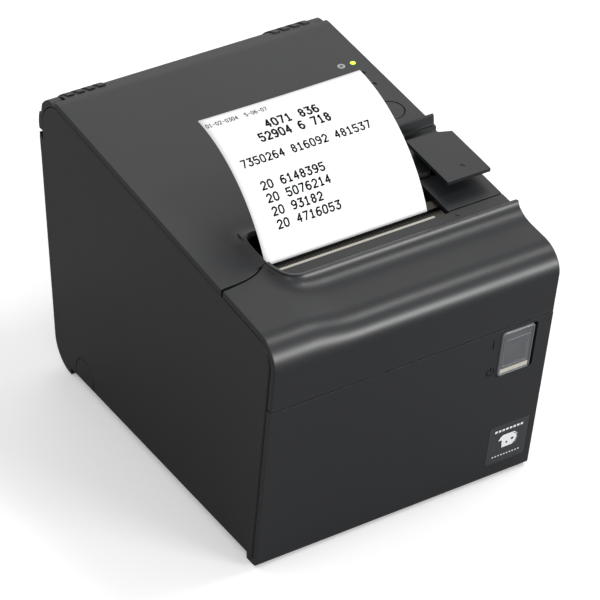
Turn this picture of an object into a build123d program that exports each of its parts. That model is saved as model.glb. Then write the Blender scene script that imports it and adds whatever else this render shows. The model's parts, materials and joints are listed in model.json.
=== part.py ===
"""Counter-top receipt printer: drop-in paper roll, opening roll cover, sliding front cover.

Millimetres, +Z up. X runs to the right as seen facing the front, the front faces -Y,
and the origin is on the ground under the middle of the case.
"""
import os
from math import acos, asin, atan2, cos, degrees, hypot, pi, radians, sin, sqrt, tan

from build123d import *

# Case outline, seen from the side
width = 140.0
rear_y = 102.0
foot_height = 1.0
front_y0 = -83.2
front_lean = 10.7
slope_z0 = 138.7
slope_angle = 6.8
front_round = 13.0
rear_top_round = 20.0
rear_bottom_round = 14.0
front_bottom_round = 3.0

# Walls and gaps
skin = 2.5
rim = 3.2
seam = 0.4
cover_inset = 0.4
wall_inset = 6.5
panel_thickness = 2.8
inner_wall = 2.4
board_thickness = 1.6
sheet_steel = 1.5
running_clearance = 0.05
free_clearance = 0.35
spring_gap = 0.45

# Front panel and front cover
seam_z = 91.7
lip_y = -72.0
lip_height = 2.2
lip_thickness = 2.3
lip_left_x = -40.0
valley_y = -84.5
valley_drop = 2.2
cover_seam_y = -63.5

# Paper, roll and its trough
paper_width = 79.5
paper_left_x = -44.3
paper_thickness = 0.2
roll_diameter = 70.0
core_diameter = 18.0
core_wall = 1.5
receipt_middle = (-37.2, 156.2)
receipt_end = (-1.4, 172.8)
bucket_radius = 46.0
bucket_wall = 2.0
bucket_y = 28.0
bucket_z = 60.0

# Print mechanism
hinge_setback = 13.8
hinge_drop = 14.5628
hinge_pin_diameter = 4.0
knuckle_radius = 8.2
cheek_radius = 10.2
platen_y = -47.5
platen_z = 118.0
platen_diameter = 14.0
shaft_diameter = 6.0
bush_diameter = 9.0
gear_module = 0.8
gear_width = 4.0
platen_teeth = 24
idler_teeth = 30
pinion_teeth = 12
gear_backlash = 0.16
mesh_allowance = 0.12
motor_diameter = 28.0
motor_length = 19.0
motor_shaft_diameter = 3.0
frame_left_x = -55.5
frame_right_x = 56.0
frame_floor_z = 64.0
frame_back_y = -36.0
frame_front_y = -69.5
head_gap = 1.0
head_thickness = 1.7
heatsink_thickness = 2.5
head_pin_diameter = 3.0

# Blades
tear_pitch = 1.2
tear_depth = 3.1
tear_tip_y = -56.3
tear_left_x = -44.0
tear_right_x = 41.5
blade_thickness = 0.8
strip_drop = 1.6
strip_thickness = 1.2
cutter_travel = 6.0
drive_depth = 26.0
cutter_motor_length = 12.0

# Roll cover features
exit_left_x = -45.5
exit_right_x = 42.0
exit_rear_y = -35.0
bay_left_x = 51.0
bay_rear_y = -8.6
bay_corner = 3.0
fin_front_y = -7.0
fin_thickness = 3.6
fin_height = 4.5
button_x = 57.6
button_y = 10.6
button_diameter = 13.4
button_travel = 0.8
lamp_diameter = 2.5
lamp_x = 62.1
lamp_ys = (48.6, 40.0, 30.6)
liner_left_x = -50.5
liner_right_x = 45.2
liner_wall = 2.2

# Lever on the right of the paper exit
lever_left_x = 47.7
lever_right_x = 69.5
lever_front_y = -51.0
lever_rear_y = -17.9
lever_lift = 5.5
lever_thickness = 1.8
lever_pivot_y = -20.0
lever_pivot_z = 131.8
lever_pin_diameter = 3.0
step_front_y = -60.3
step_rear_y = -36.5
step_thickness = 2.0

# Power switch and label on the leaning front, with heights along the slant
switch_x = 53.1
switch_s = 78.1
switch_width = 18.0
switch_height = 25.6
switch_depth = 14.0
rocker_depth = 5.2
rocker_tilt = 9.0
rocker_pin_diameter = 1.8
rocker_pin_reach = 1.1
guard_wall = 1.2
label_x = 56.2
label_s = 21.6
label_width = 20.8
label_height = 22.9
label_thickness = 0.25

# Underside and rear
foot_diameter = 12.0
foot_recess = 1.5
foot_x = 54.0
foot_front_y = -62.0
foot_rear_y = 76.0
screw_diameter = 3.0
screw_head_diameter = 5.6
port_half_width = 53.0
port_low_z = 18.0
port_high_z = 52.0
port_recess = 4.5
pad_thickness = 2.6
knockout_front_y = 63.4
knockout_rear_y = 80.7
knockout_top_z = 18.0

# Worked out from the sizes above
half_width = width / 2
cover_half = half_width - cover_inset
skirt_inner = half_width - panel_thickness - seam + 0.1
wall_outer = half_width - panel_thickness - seam
wall_inner = wall_outer - inner_wall
lean = radians(front_lean)
tilt = radians(slope_angle)
paper_right_x = paper_left_x + paper_width
paper_middle_x = paper_left_x + paper_width / 2
hinge_y = rear_y - hinge_setback
hinge_z = slope_z0 + rear_y * tan(tilt) - hinge_drop
cutter_motor_diameter = drive_depth - platen_diameter
roll_y = bucket_y
roll_z = bucket_z - bucket_radius + roll_diameter / 2 + 0.3
platen_radius = platen_diameter / 2
nip_y = platen_y - platen_radius
head_face_y = nip_y - head_gap
heatsink_y = head_face_y - head_thickness - heatsink_thickness
head_pin_y = heatsink_y - 2.0
head_pin_z = platen_z - 11.0

front_plane = Plane((0, front_y0, 0), x_dir=(1, 0, 0), z_dir=(0, -cos(lean), -sin(lean)))
slope_plane = Plane((0, 0, slope_z0), x_dir=(1, 0, 0), z_dir=(0, -sin(tilt), cos(tilt)))


def slope_height(y):
    """Height of the sloping top above the ground at a distance y from the middle."""
    return slope_z0 + y * tan(tilt)


def front_depth(z):
    """The y of the leaning front at height z."""
    return front_y0 - z * tan(lean)


def along_slope(y):
    """Distance along the slope from above the origin to a given y."""
    return y / cos(tilt)


def case_outline(inset=0.0):
    """Side outline of the case, set in from the outside by an even amount."""
    top_front_z = (slope_z0 + front_y0 * tan(tilt)) / (1 + tan(lean) * tan(tilt))
    corners = [
        (front_depth(foot_height), foot_height, front_bottom_round),
        (front_depth(top_front_z), top_front_z, front_round),
        (rear_y, slope_height(rear_y), rear_top_round),
        (rear_y, foot_height, rear_bottom_round),
    ]
    with BuildSketch(Plane.YZ) as outline:
        with BuildLine():
            Polyline([(y, z) for y, z, _ in corners], close=True)
        make_face()
        for y, z, radius in corners:
            nearest = outline.vertices().sort_by_distance(Vector(y, z, 0))[0]
            fillet(nearest, radius)
        if inset:
            offset(amount=-inset, mode=Mode.REPLACE)
    return outline.sketch_local


def side_polygon(points, start_x, end_x):
    """A block with a polygonal side view, between two x positions."""
    with BuildPart() as block:
        with BuildSketch(Plane.YZ.offset(start_x)):
            with BuildLine():
                Polyline(points, close=True)
            make_face()
        extrude(amount=end_x - start_x)
    return block.part


def rod(diameter, start_x, end_x, y, z):
    """A round bar along X."""
    with BuildPart() as bar:
        with BuildSketch(Plane.YZ.offset(start_x)):
            with Locations((y, z)):
                Circle(diameter / 2)
        extrude(amount=end_x - start_x)
    return bar.part


def outer_band():
    """The whole outer skin of the case as a closed band with narrow side skirts."""
    with BuildPart() as band:
        with BuildSketch(Plane.YZ.offset(-cover_half)):
            add(case_outline())
            add(case_outline(skin), mode=Mode.SUBTRACT)
        extrude(amount=2 * cover_half)
        for start in (-cover_half, skirt_inner):
            with BuildSketch(Plane.YZ.offset(start)):
                add(case_outline())
                add(case_outline(rim), mode=Mode.SUBTRACT)
            extrude(amount=cover_half - skirt_inner)
    return band.part


def side_panel_space():
    """What the side panels fill, with their gap, on both sides of the case."""
    with BuildPart() as space:
        for start in (-half_width - 1, skirt_inner - seam):
            with BuildSketch(Plane.YZ.offset(start)):
                add(case_outline(rim))
            extrude(amount=half_width + 1 - skirt_inner + seam)
    return space.part


def finish(piece, name):
    """Name a finished piece and write it to its own file."""
    piece.label = name
    export_step(piece, f"parts/{name}.step")


def involute_gear(teeth, phase, bore):
    """Flat gear outline with its first tooth centred on the angle phase, in degrees."""
    pitch_radius = gear_module * teeth / 2
    base_radius = pitch_radius * cos(radians(20))
    tip_radius = pitch_radius + 0.95 * gear_module
    root_radius = pitch_radius - 1.25 * gear_module
    flank_start = max(base_radius, root_radius)
    half_tooth = (pi / 2 - gear_backlash) / teeth + tan(radians(20)) - radians(20)
    flank = []
    for step in range(4):
        radius = flank_start + (tip_radius - flank_start) * step / 3
        pressure = acos(min(1.0, base_radius / radius))
        flank.append((radius, half_tooth - (tan(pressure) - pressure)))
    if root_radius < flank_start:
        flank.insert(0, (root_radius, flank[0][1]))
    points = []
    for tooth in range(teeth):
        middle = radians(phase) + 2 * pi * tooth / teeth
        points += [(r * cos(middle - a), r * sin(middle - a)) for r, a in flank]
        points += [(r * cos(middle + a), r * sin(middle + a)) for r, a in reversed(flank)]
    with BuildSketch() as gear:
        with BuildLine():
            Polyline(points, close=True)
        make_face()
        if bore:
            Circle(bore / 2, mode=Mode.SUBTRACT)
    return gear.sketch


def coil_spring(base, radius, length, turns, wire):
    """Round-wire coil on a plane, along the plane's normal."""
    with BuildPart() as coil:
        with BuildLine():
            path = Helix(pitch=length / turns, height=length, radius=radius)
        with BuildSketch(Plane(origin=path @ 0, z_dir=path % 0)):
            Circle(wire / 2)
        sweep(path=path, is_frenet=True)
    return coil.part.moved(base.location)


# ---------------------------------------------------------------- fixed case


def make_base_chassis():
    """Tray with floor, side walls that end in the hinge cheeks, and mechanism posts."""
    with BuildPart() as base_chassis:
        floor_front = front_depth(foot_height) + skin + 6.0
        floor_rear = rear_y - rear_bottom_round - 1.0
        with BuildSketch(Plane.XY.offset(foot_height)):
            with BuildLine():
                Polyline((-wall_outer, floor_front), (wall_outer, floor_front),
                         (wall_outer, floor_rear), (-wall_outer, floor_rear), close=True)
            make_face()
        extrude(amount=skin + 0.5)
        for start in (-wall_outer, wall_inner):
            with BuildSketch(Plane.YZ.offset(start)):
                add(case_outline(wall_inset))
                with BuildLine():
                    Polyline((floor_front, foot_height + 1), (floor_rear, foot_height + 1),
                             (floor_rear, 2 * wall_inset), (floor_front, 2 * wall_inset), close=True)
                make_face()
            extrude(amount=inner_wall)
        for start in (-cover_half, wall_inner):
            with BuildSketch(Plane.YZ.offset(start)):
                with Locations((hinge_y, hinge_z)):
                    Circle(cheek_radius)
                with Locations((rear_y - 6.0, hinge_z - 5.0)):
                    Rectangle(12.0, 9.0)
                add(case_outline(), mode=Mode.INTERSECT)
            extrude(amount=cover_half - wall_inner)
        for start in (-cover_half - 1, wall_outer):
            with BuildSketch(Plane.YZ.offset(start)):
                add(case_outline(rim))
            extrude(amount=cover_half + 1 - wall_outer, mode=Mode.SUBTRACT)
        post = 8.0
        post_points = [(x, y) for x in (frame_left_x + 6, frame_right_x - 5)
                       for y in (frame_front_y + 5, frame_back_y - 5)]
        with BuildSketch(Plane.XY.offset(foot_height + skin)):
            with Locations(*post_points):
                Rectangle(post, post)
        extrude(amount=frame_floor_z - foot_height - skin)
        with BuildSketch(Plane.XY.offset(foot_height)):
            with Locations(*foot_centres()):
                Circle(foot_diameter / 2 + free_clearance)
        extrude(amount=foot_recess, mode=Mode.SUBTRACT)
        with BuildSketch(Plane.XY.offset(foot_height)):
            with Locations(*screw_centres()):
                Circle(screw_head_diameter / 2 + free_clearance)
        extrude(amount=1.2, mode=Mode.SUBTRACT)
        with BuildSketch(Plane.XY.offset(foot_height)):
            with Locations(*screw_centres()):
                Circle(screw_diameter / 2 + free_clearance)
        extrude(amount=skin + 1, mode=Mode.SUBTRACT)
        with BuildSketch(Plane.YZ.offset(-half_width)):
            with Locations((hinge_y, hinge_z)):
                Circle(hinge_pin_diameter / 2)
        extrude(amount=width, mode=Mode.SUBTRACT)
    finish(base_chassis.part, "base_chassis")


def foot_centres():
    """Centres of the four rubber feet."""
    return [(x, y) for x in (-foot_x, foot_x) for y in (foot_front_y, foot_rear_y)]


def screw_centres():
    """Centres of the screws under the case, inboard of the feet."""
    reach = foot_diameter / 2 + screw_head_diameter
    return [(x, y) for x in (-foot_x, foot_x)
            for y in (frame_back_y + reach, foot_rear_y - reach)]


def make_rear_cover():
    """Back wall with its rounded foot, a port opening and two stop pads."""
    with BuildPart() as rear_cover:
        add(outer_band())
        floor_rear = rear_y - rear_bottom_round - 1.0
        with BuildSketch(Plane.YZ.offset(-half_width)):
            with BuildLine():
                Polyline((floor_rear + seam, 0), (rear_y + 1, 0), (rear_y + 1, hinge_z - 10.2),
                         (floor_rear + seam, hinge_z - 10.2), close=True)
            make_face()
        extrude(amount=width, mode=Mode.INTERSECT)
        sweep_radius = wrap_radius() + seam
        with BuildSketch(Plane.YZ.offset(-half_width)):
            with Locations((hinge_y, hinge_z)):
                Circle(sweep_radius)
        extrude(amount=width, mode=Mode.SUBTRACT)
        with BuildSketch(Plane.XZ.offset(-rear_y - 1)):
            with Locations((0, (port_low_z + port_high_z) / 2)):
                RectangleRounded(2 * port_half_width, port_high_z - port_low_z, 2.0)
        extrude(amount=skin + 2, mode=Mode.SUBTRACT)
        pad_low = hinge_z - 24.0
        with BuildSketch(Plane.XZ.offset(-rear_y)):
            with Locations((-half_width + 7.5, pad_low + 5), (half_width - 7.5, pad_low + 5)):
                RectangleRounded(12.0, 9.0, 1.0)
        extrude(amount=-pad_thickness)
    finish(rear_cover.part, "rear_cover")


def wrap_radius():
    """Distance from the hinge to the lower end of the roll cover's rear wrap."""
    return hypot(rear_y - hinge_y, 11.0)


def make_side_panels():
    """Flat outer panels with a softened edge and an arched cable knock-out."""
    arch_radius = (knockout_rear_y - knockout_front_y) / 2
    arch_middle = (knockout_rear_y + knockout_front_y) / 2
    for name, outer_x, inward in (("side_panel_left", -half_width, 1),
                                  ("side_panel_right", half_width, -1)):
        with BuildPart() as side_panel:
            with BuildSketch(Plane.YZ.offset(outer_x)):
                add(case_outline(rim + seam))
            extrude(amount=inward * panel_thickness)
            face = side_panel.faces().sort_by(Axis.X)[0 if inward > 0 else -1]
            fillet(face.edges(), 0.8)
            with BuildSketch(Plane.YZ.offset(outer_x)):
                with Locations((arch_middle, knockout_top_z - arch_radius)):
                    Circle(arch_radius)
                with Locations((arch_middle, (knockout_top_z - arch_radius) / 2)):
                    Rectangle(2 * arch_radius, knockout_top_z - arch_radius)
                offset(amount=-0.5, mode=Mode.SUBTRACT)
            extrude(amount=inward * 0.6, mode=Mode.SUBTRACT)
        finish(side_panel.part, name)


def make_front_panel():
    """Leaning lower front with the switch opening and the label's shallow recess."""
    with BuildPart() as front_panel:
        add(outer_band())
        panel_top = seam_z
        rear_edge = front_depth(foot_height) + skin + 6.0 - seam
        with BuildSketch(Plane.YZ.offset(-half_width)):
            with BuildLine():
                Polyline((front_depth(panel_top) - 10, 0), (rear_edge, 0), (rear_edge, panel_top),
                         (front_depth(panel_top) - 10, panel_top), close=True)
            make_face()
        extrude(amount=width, mode=Mode.INTERSECT)
        with BuildSketch(front_plane):
            with Locations((switch_x, switch_s)):
                RectangleRounded(switch_width + 2 * free_clearance,
                                 switch_height + 2 * free_clearance, 2.0)
        extrude(amount=-skin - 1, mode=Mode.SUBTRACT)
        with BuildSketch(front_plane):
            with Locations((label_x, label_s)):
                RectangleRounded(label_width + 0.4, label_height + 0.4, 0.8)
        extrude(amount=-label_thickness, mode=Mode.SUBTRACT)
    finish(front_panel.part, "front_panel")


def make_label():
    """Thin sticker sunk flush into the front panel."""
    with BuildPart() as compatibility_label:
        with BuildSketch(front_plane.offset(-label_thickness)):
            with Locations((label_x, label_s)):
                RectangleRounded(label_width, label_height, 0.6)
        extrude(amount=label_thickness)
    finish(compatibility_label.part, "compatibility_label")


def make_power_switch():
    """Rocker switch: housing behind the panel, rocker on two stub pins, clear guard."""
    rocker_half = (switch_width - 6) / 2
    pivot = front_plane.from_local_coords(Vector(switch_x - rocker_half, switch_s, -rocker_depth))
    pin_half = rocker_half + rocker_pin_reach
    with BuildPart() as switch_housing:
        with BuildSketch(front_plane.offset(-skin - 1)):
            with Locations((switch_x, switch_s)):
                Rectangle(switch_width - 2, switch_height - 2)
        extrude(amount=-switch_depth)
        with BuildSketch(front_plane.offset(-skin - 1)):
            with Locations((switch_x, switch_s)):
                Rectangle(switch_width - 5, switch_height - 5)
        extrude(amount=-switch_depth + 6, mode=Mode.SUBTRACT)
        with BuildSketch(front_plane.offset(-skin - 1)):
            with Locations((switch_x, switch_s)):
                RectangleRounded(switch_width + 3, switch_height + 3, 2.0)
                Rectangle(switch_width - 5, switch_height - 5, mode=Mode.SUBTRACT)
        extrude(amount=0.8)
        add(rod(rocker_pin_diameter + 2 * running_clearance, switch_x - pin_half - running_clearance,
                switch_x + pin_half + running_clearance, pivot.Y, pivot.Z), mode=Mode.SUBTRACT)
    finish(switch_housing.part, "switch_housing")

    rocker_length = switch_height - 8
    with BuildPart() as switch_rocker:
        side = Plane(pivot, x_dir=front_plane.y_dir, z_dir=front_plane.x_dir)
        with BuildSketch(Plane(side.location * Rotation(0, 0, -rocker_tilt))):
            with BuildLine():
                Polyline((-rocker_length / 2, 0.2), (-rocker_length / 2 + 0.6, 3.0), (0, 1.4),
                         (rocker_length / 2 - 0.6, 3.0), (rocker_length / 2, 0.2), (0, -3.0), close=True)
            make_face()
        extrude(amount=2 * rocker_half)
        add(rod(rocker_pin_diameter, switch_x - pin_half, switch_x + pin_half, pivot.Y, pivot.Z))
    finish(switch_rocker.part, "switch_rocker")

    with BuildPart() as switch_guard:
        with BuildSketch(front_plane.offset(-skin - 0.2)):
            with Locations((switch_x, switch_s)):
                RectangleRounded(switch_width, switch_height, 1.8)
        extrude(amount=skin + 1.8)
        front = switch_guard.faces().sort_by(Axis((0, 0, 0), front_plane.z_dir))[-1]
        fillet(front.edges(), 1.0)
        with BuildSketch(front_plane.offset(-skin - 0.2)):
            with Locations((switch_x, switch_s)):
                RectangleRounded(switch_width - 2 * guard_wall, switch_height - 2 * guard_wall, 1.0)
        extrude(amount=skin + 1.8 - guard_wall, mode=Mode.SUBTRACT)
    finish(switch_guard.part, "switch_guard")


def make_feet_and_screws():
    """Four rubber feet and four screws under the case."""
    with BuildPart() as rubber_feet:
        with BuildSketch():
            with Locations(*foot_centres()):
                Circle(foot_diameter / 2)
        extrude(amount=foot_height + foot_recess)
        chamfer(rubber_feet.faces().group_by(Axis.Z)[0].edges(), 0.4)
    finish(rubber_feet.part, "rubber_feet")

    with BuildPart() as case_screws:
        with BuildSketch(Plane.XY.offset(foot_height + 0.2)):
            with Locations(*screw_centres()):
                Circle(screw_head_diameter / 2)
        extrude(amount=1.0)
        with BuildSketch(Plane.XY.offset(foot_height + 0.2)):
            with Locations(*screw_centres()):
                Circle(screw_diameter / 2)
        extrude(amount=skin + 1)
    finish(case_screws.part, "case_screws")


def make_roll_bucket():
    """Half-round trough with two end walls that the paper roll drops into."""
    left = paper_left_x - 1.5
    right = paper_right_x + 1.5
    outer_radius = bucket_radius + bucket_wall
    with BuildPart() as roll_bucket:
        with BuildSketch(Plane.YZ.offset(left - bucket_wall)):
            with Locations((bucket_y, bucket_z)):
                Circle(outer_radius)
            with Locations((bucket_y, bucket_z + outer_radius / 2)):
                Rectangle(2 * outer_radius, outer_radius, mode=Mode.SUBTRACT)
        extrude(amount=right - left + 2 * bucket_wall)
        with BuildSketch(Plane.YZ.offset(left)):
            with Locations((bucket_y, bucket_z)):
                Circle(bucket_radius)
        extrude(amount=right - left, mode=Mode.SUBTRACT)
        leg = 5.0
        leg_z = foot_height + skin + 0.5
        with BuildSketch(Plane.XY.offset(leg_z)):
            with Locations(*[(x, y) for x in (left - bucket_wall + leg / 2, right + bucket_wall - leg / 2)
                             for y in (bucket_y - 41, bucket_y + 41)]):
                Rectangle(leg, leg)
        extrude(amount=bucket_z - leg_z)
        with BuildSketch(Plane.YZ.offset(left)):
            with Locations((bucket_y, bucket_z)):
                Circle(bucket_radius)
        extrude(amount=right - left, mode=Mode.SUBTRACT)
    finish(roll_bucket.part, "roll_bucket")

    with BuildPart() as paper_end_sensor:
        with BuildSketch(Plane.YZ.offset(right + bucket_wall)):
            with Locations((bucket_y, roll_z - 12)):
                RectangleRounded(9.0, 12.0, 1.0)
        extrude(amount=4.5)
    finish(paper_end_sensor.part, "paper_end_sensor")


def make_paper():
    """Paper roll on its core, and the web that runs up to the nip."""
    with BuildPart() as paper_roll:
        with BuildSketch(Plane.YZ.offset(paper_left_x)):
            with Locations((roll_y, roll_z)):
                Circle(roll_diameter / 2)
                Circle(core_diameter / 2, mode=Mode.SUBTRACT)
        extrude(amount=paper_width)
    finish(paper_roll.part, "paper_roll")

    with BuildPart() as paper_core:
        with BuildSketch(Plane.YZ.offset(paper_left_x)):
            with Locations((roll_y, roll_z)):
                Circle(core_diameter / 2)
                Circle(core_diameter / 2 - core_wall, mode=Mode.SUBTRACT)
        extrude(amount=paper_width)
    finish(paper_core.part, "paper_core")

    web_y = nip_y - free_clearance - paper_thickness / 2
    bend_z = platen_z - 14.5
    reach_y = roll_y - web_y
    drop_z = roll_z - bend_z
    web_gap = 0.6
    tangent_radius = roll_diameter / 2 + web_gap
    run = atan2(drop_z, reach_y) + asin(tangent_radius / hypot(reach_y, drop_z))
    tangent_length = sqrt(hypot(reach_y, drop_z) ** 2 - tangent_radius ** 2)
    tangent = (web_y + tangent_length * cos(run), bend_z + tangent_length * sin(run))
    with BuildPart() as paper_web:
        with BuildSketch(Plane.YZ.offset(paper_left_x)):
            with BuildLine():
                FilletPolyline(tangent, (web_y, bend_z), (web_y, platen_z + 0.3), radius=4.0)
            trace(line_width=paper_thickness)
        extrude(amount=paper_width)
    finish(paper_web.part, "paper_web")

    guide_radius = 2.5
    with BuildPart() as guide_bar:
        guide_y = web_y + free_clearance + guide_radius
        guide_z = bend_z + guide_radius + 1.2
        add(rod(2 * guide_radius, frame_left_x + sheet_steel, frame_right_x, guide_y, guide_z))
    finish(guide_bar.part, "guide_bar")


def make_boards_and_ports():
    """Main board under the trough and the interface plate with its sockets."""
    board_z = foot_height + skin + 0.5 + 2.0
    with BuildPart() as main_board:
        with BuildSketch(Plane.XY.offset(board_z)):
            with Locations((0, bucket_y)):
                Rectangle(60.0, 100.0)
        extrude(amount=board_thickness)
        with BuildSketch(Plane.XY.offset(board_z + board_thickness)):
            with Locations((-16, bucket_y - 34)):
                Rectangle(16.0, 16.0)
            with Locations((14, bucket_y - 36)):
                Rectangle(18.0, 10.0)
        extrude(amount=1.6)
    finish(main_board.part, "main_board")

    plate_y = rear_y - port_recess - sheet_steel
    ports = (("power_inlet", -36.0, 15.0, 14.0), ("drawer_socket", -8.0, 14.0, 13.0),
             ("data_socket", 26.0, 17.0, 14.0))
    port_z = port_low_z + 15.0
    with BuildPart() as interface_plate:
        with BuildSketch(Plane.XZ.offset(-plate_y)):
            with Locations((0, (port_low_z + port_high_z) / 2)):
                Rectangle(2 * port_half_width + 4, port_high_z - port_low_z + 4)
            for _, x, wide, high in ports:
                with Locations((x, port_z)):
                    Rectangle(wide + 2 * seam, high + 2 * seam, mode=Mode.SUBTRACT)
        extrude(amount=-sheet_steel)
    finish(interface_plate.part, "interface_plate")

    for name, x, wide, high in ports:
        with BuildPart() as socket:
            with BuildSketch(Plane.XZ.offset(-plate_y + 12.0)):
                with Locations((x, port_z)):
                    Rectangle(wide, high)
            extrude(amount=-(12.0 + sheet_steel + 1.0))
            with BuildSketch(Plane.XZ.offset(-plate_y - sheet_steel - 1.0)):
                with Locations((x, port_z)):
                    if name == "power_inlet":
                        Circle(5.2)
                    else:
                        Rectangle(wide - 4, high - 5)
            extrude(amount=9.0, mode=Mode.SUBTRACT)
        finish(socket.part, name)

    with BuildPart() as interface_board:
        with BuildSketch(Plane.XZ.offset(-plate_y + 12.0)):
            with Locations((0, port_z)):
                Rectangle(2 * port_half_width - 8, 26.0)
        extrude(amount=board_thickness)
    finish(interface_board.part, "interface_board")


# ------------------------------------------------------------ print mechanism


def idler_centre():
    """Idler position: below the platen, in line with the way the platen lifts away."""
    distance = gear_module * (platen_teeth + idler_teeth) / 2 + mesh_allowance
    reach_y = hinge_y - platen_y
    reach_z = hinge_z - platen_z
    share = distance / hypot(reach_y, reach_z)
    return platen_y + reach_z * share, platen_z - reach_y * share


def pinion_centre():
    """Motor position, forward of and below the idler."""
    distance = gear_module * (idler_teeth + pinion_teeth) / 2 + mesh_allowance
    idler_y, idler_z = idler_centre()
    return idler_y - distance * 0.5, idler_z - distance * sqrt(0.75)


def make_mechanism_frame():
    """Bent steel frame: floor, two cheeks and a front flange for the head springs."""
    horn_drop = (strip_drop + strip_thickness + blade_thickness) / cos(tilt)
    cheek_points = [(frame_front_y, frame_floor_z), (frame_back_y, frame_floor_z),
                    (frame_back_y, platen_z - 2), (platen_y - 3, platen_z + 4),
                    (-62.5, platen_z + 4), (-62.5, slope_height(-62.5) - horn_drop),
                    (frame_front_y + 1, slope_height(frame_front_y + 1) - horn_drop)]
    motor_y, motor_z = pinion_centre()
    idler_y, idler_z = idler_centre()
    with BuildPart() as mechanism_frame:
        add(side_polygon(cheek_points, frame_left_x, frame_left_x + sheet_steel))
        add(side_polygon(cheek_points, frame_right_x, frame_right_x + sheet_steel))
        with BuildSketch(Plane.XY.offset(frame_floor_z)):
            with BuildLine():
                Polyline((frame_left_x, frame_front_y), (frame_right_x + sheet_steel, frame_front_y),
                         (frame_right_x + sheet_steel, frame_back_y), (frame_left_x, frame_back_y),
                         close=True)
            make_face()
        extrude(amount=sheet_steel)
        add(side_polygon([(frame_front_y, frame_floor_z), (frame_front_y + sheet_steel, frame_floor_z),
                          (frame_front_y + sheet_steel, platen_z + 4), (frame_front_y, platen_z + 4)],
                         frame_left_x, 34.0))
        slot_half = shaft_diameter / 2 + 0.6
        slot_top = platen_z + 20
        lean_back = (slot_top - platen_z) * 0.02
        with BuildSketch(Plane.YZ.offset(frame_left_x - 1)):
            with Locations((platen_y, platen_z)):
                Circle(slot_half)
            with BuildLine():
                Polyline((platen_y - slot_half - lean_back, slot_top), (platen_y - slot_half, platen_z),
                         (platen_y + slot_half, platen_z), (platen_y + slot_half, slot_top), close=True)
            make_face()
            with Locations((platen_y - 1.0, platen_z + 2.0)):
                Circle(slot_half)
            with Locations((motor_y, motor_z)):
                Circle(gear_module * pinion_teeth / 2 + 2)
        extrude(amount=sheet_steel + 2, mode=Mode.SUBTRACT)
        with BuildSketch(Plane.YZ.offset(frame_left_x - 1)):
            with Locations((head_pin_y, head_pin_z)):
                Circle(head_pin_diameter / 2)
        extrude(amount=frame_right_x - frame_left_x + sheet_steel + 2, mode=Mode.SUBTRACT)
        with BuildSketch(Plane.YZ.offset(frame_left_x - 1)):
            with Locations((idler_y, idler_z)):
                Circle(motor_shaft_diameter / 2)
        extrude(amount=sheet_steel + 2, mode=Mode.SUBTRACT)
    finish(mechanism_frame.part, "mechanism_frame")


def make_drive():
    """Feed motor, its pinion, the idler on a fixed stud and the platen gear."""
    motor_y, motor_z = pinion_centre()
    idler_y, idler_z = idler_centre()
    gear_x = frame_left_x - 0.6 - gear_width
    to_idler = degrees(atan2(idler_z - platen_z, idler_y - platen_y))
    to_pinion = degrees(atan2(motor_z - idler_z, motor_y - idler_y))
    idler_phase = to_idler + 180 + 180 / idler_teeth
    pinion_angle = to_pinion + 180
    gaps = (to_pinion - idler_phase) / (360 / idler_teeth)
    fraction = gaps - round(gaps)
    pinion_phase = pinion_angle + 180 / pinion_teeth + fraction * 360 / pinion_teeth

    with BuildPart() as feed_motor:
        with BuildSketch(Plane.YZ.offset(frame_left_x + sheet_steel)):
            with Locations((motor_y, motor_z)):
                Circle(motor_diameter / 2)
                Circle(motor_shaft_diameter / 2 + free_clearance, mode=Mode.SUBTRACT)
        extrude(amount=motor_length)
        fillet(feed_motor.faces().sort_by(Axis.X)[-1].outer_wire().edges(), 1.0)
    finish(feed_motor.part, "feed_motor")

    with BuildPart() as motor_pinion:
        with BuildSketch(Plane.YZ.offset(gear_x)):
            with Locations((motor_y, motor_z)):
                add(involute_gear(pinion_teeth, pinion_phase, 0))
        extrude(amount=gear_width)
        add(rod(motor_shaft_diameter, gear_x, frame_left_x + sheet_steel + motor_length + 2,
                motor_y, motor_z))
    finish(motor_pinion.part, "motor_pinion")

    with BuildPart() as idler_gear:
        with BuildSketch(Plane.YZ.offset(gear_x)):
            with Locations((idler_y, idler_z)):
                add(involute_gear(idler_teeth, idler_phase, motor_shaft_diameter + 2 * running_clearance))
        extrude(amount=gear_width)
    finish(idler_gear.part, "idler_gear")

    with BuildPart() as idler_stud:
        add(rod(motor_shaft_diameter, gear_x - 1.6, frame_left_x + sheet_steel, idler_y, idler_z))
        add(rod(motor_shaft_diameter + 2.5, gear_x - 1.6, gear_x - 0.4, idler_y, idler_z))
    finish(idler_stud.part, "idler_stud")

    with BuildPart() as platen_gear:
        with BuildSketch(Plane.YZ.offset(gear_x)):
            with Locations((platen_y, platen_z)):
                add(involute_gear(platen_teeth, to_idler, shaft_diameter))
        extrude(amount=gear_width)
    finish(platen_gear.part, "platen_gear")


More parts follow.
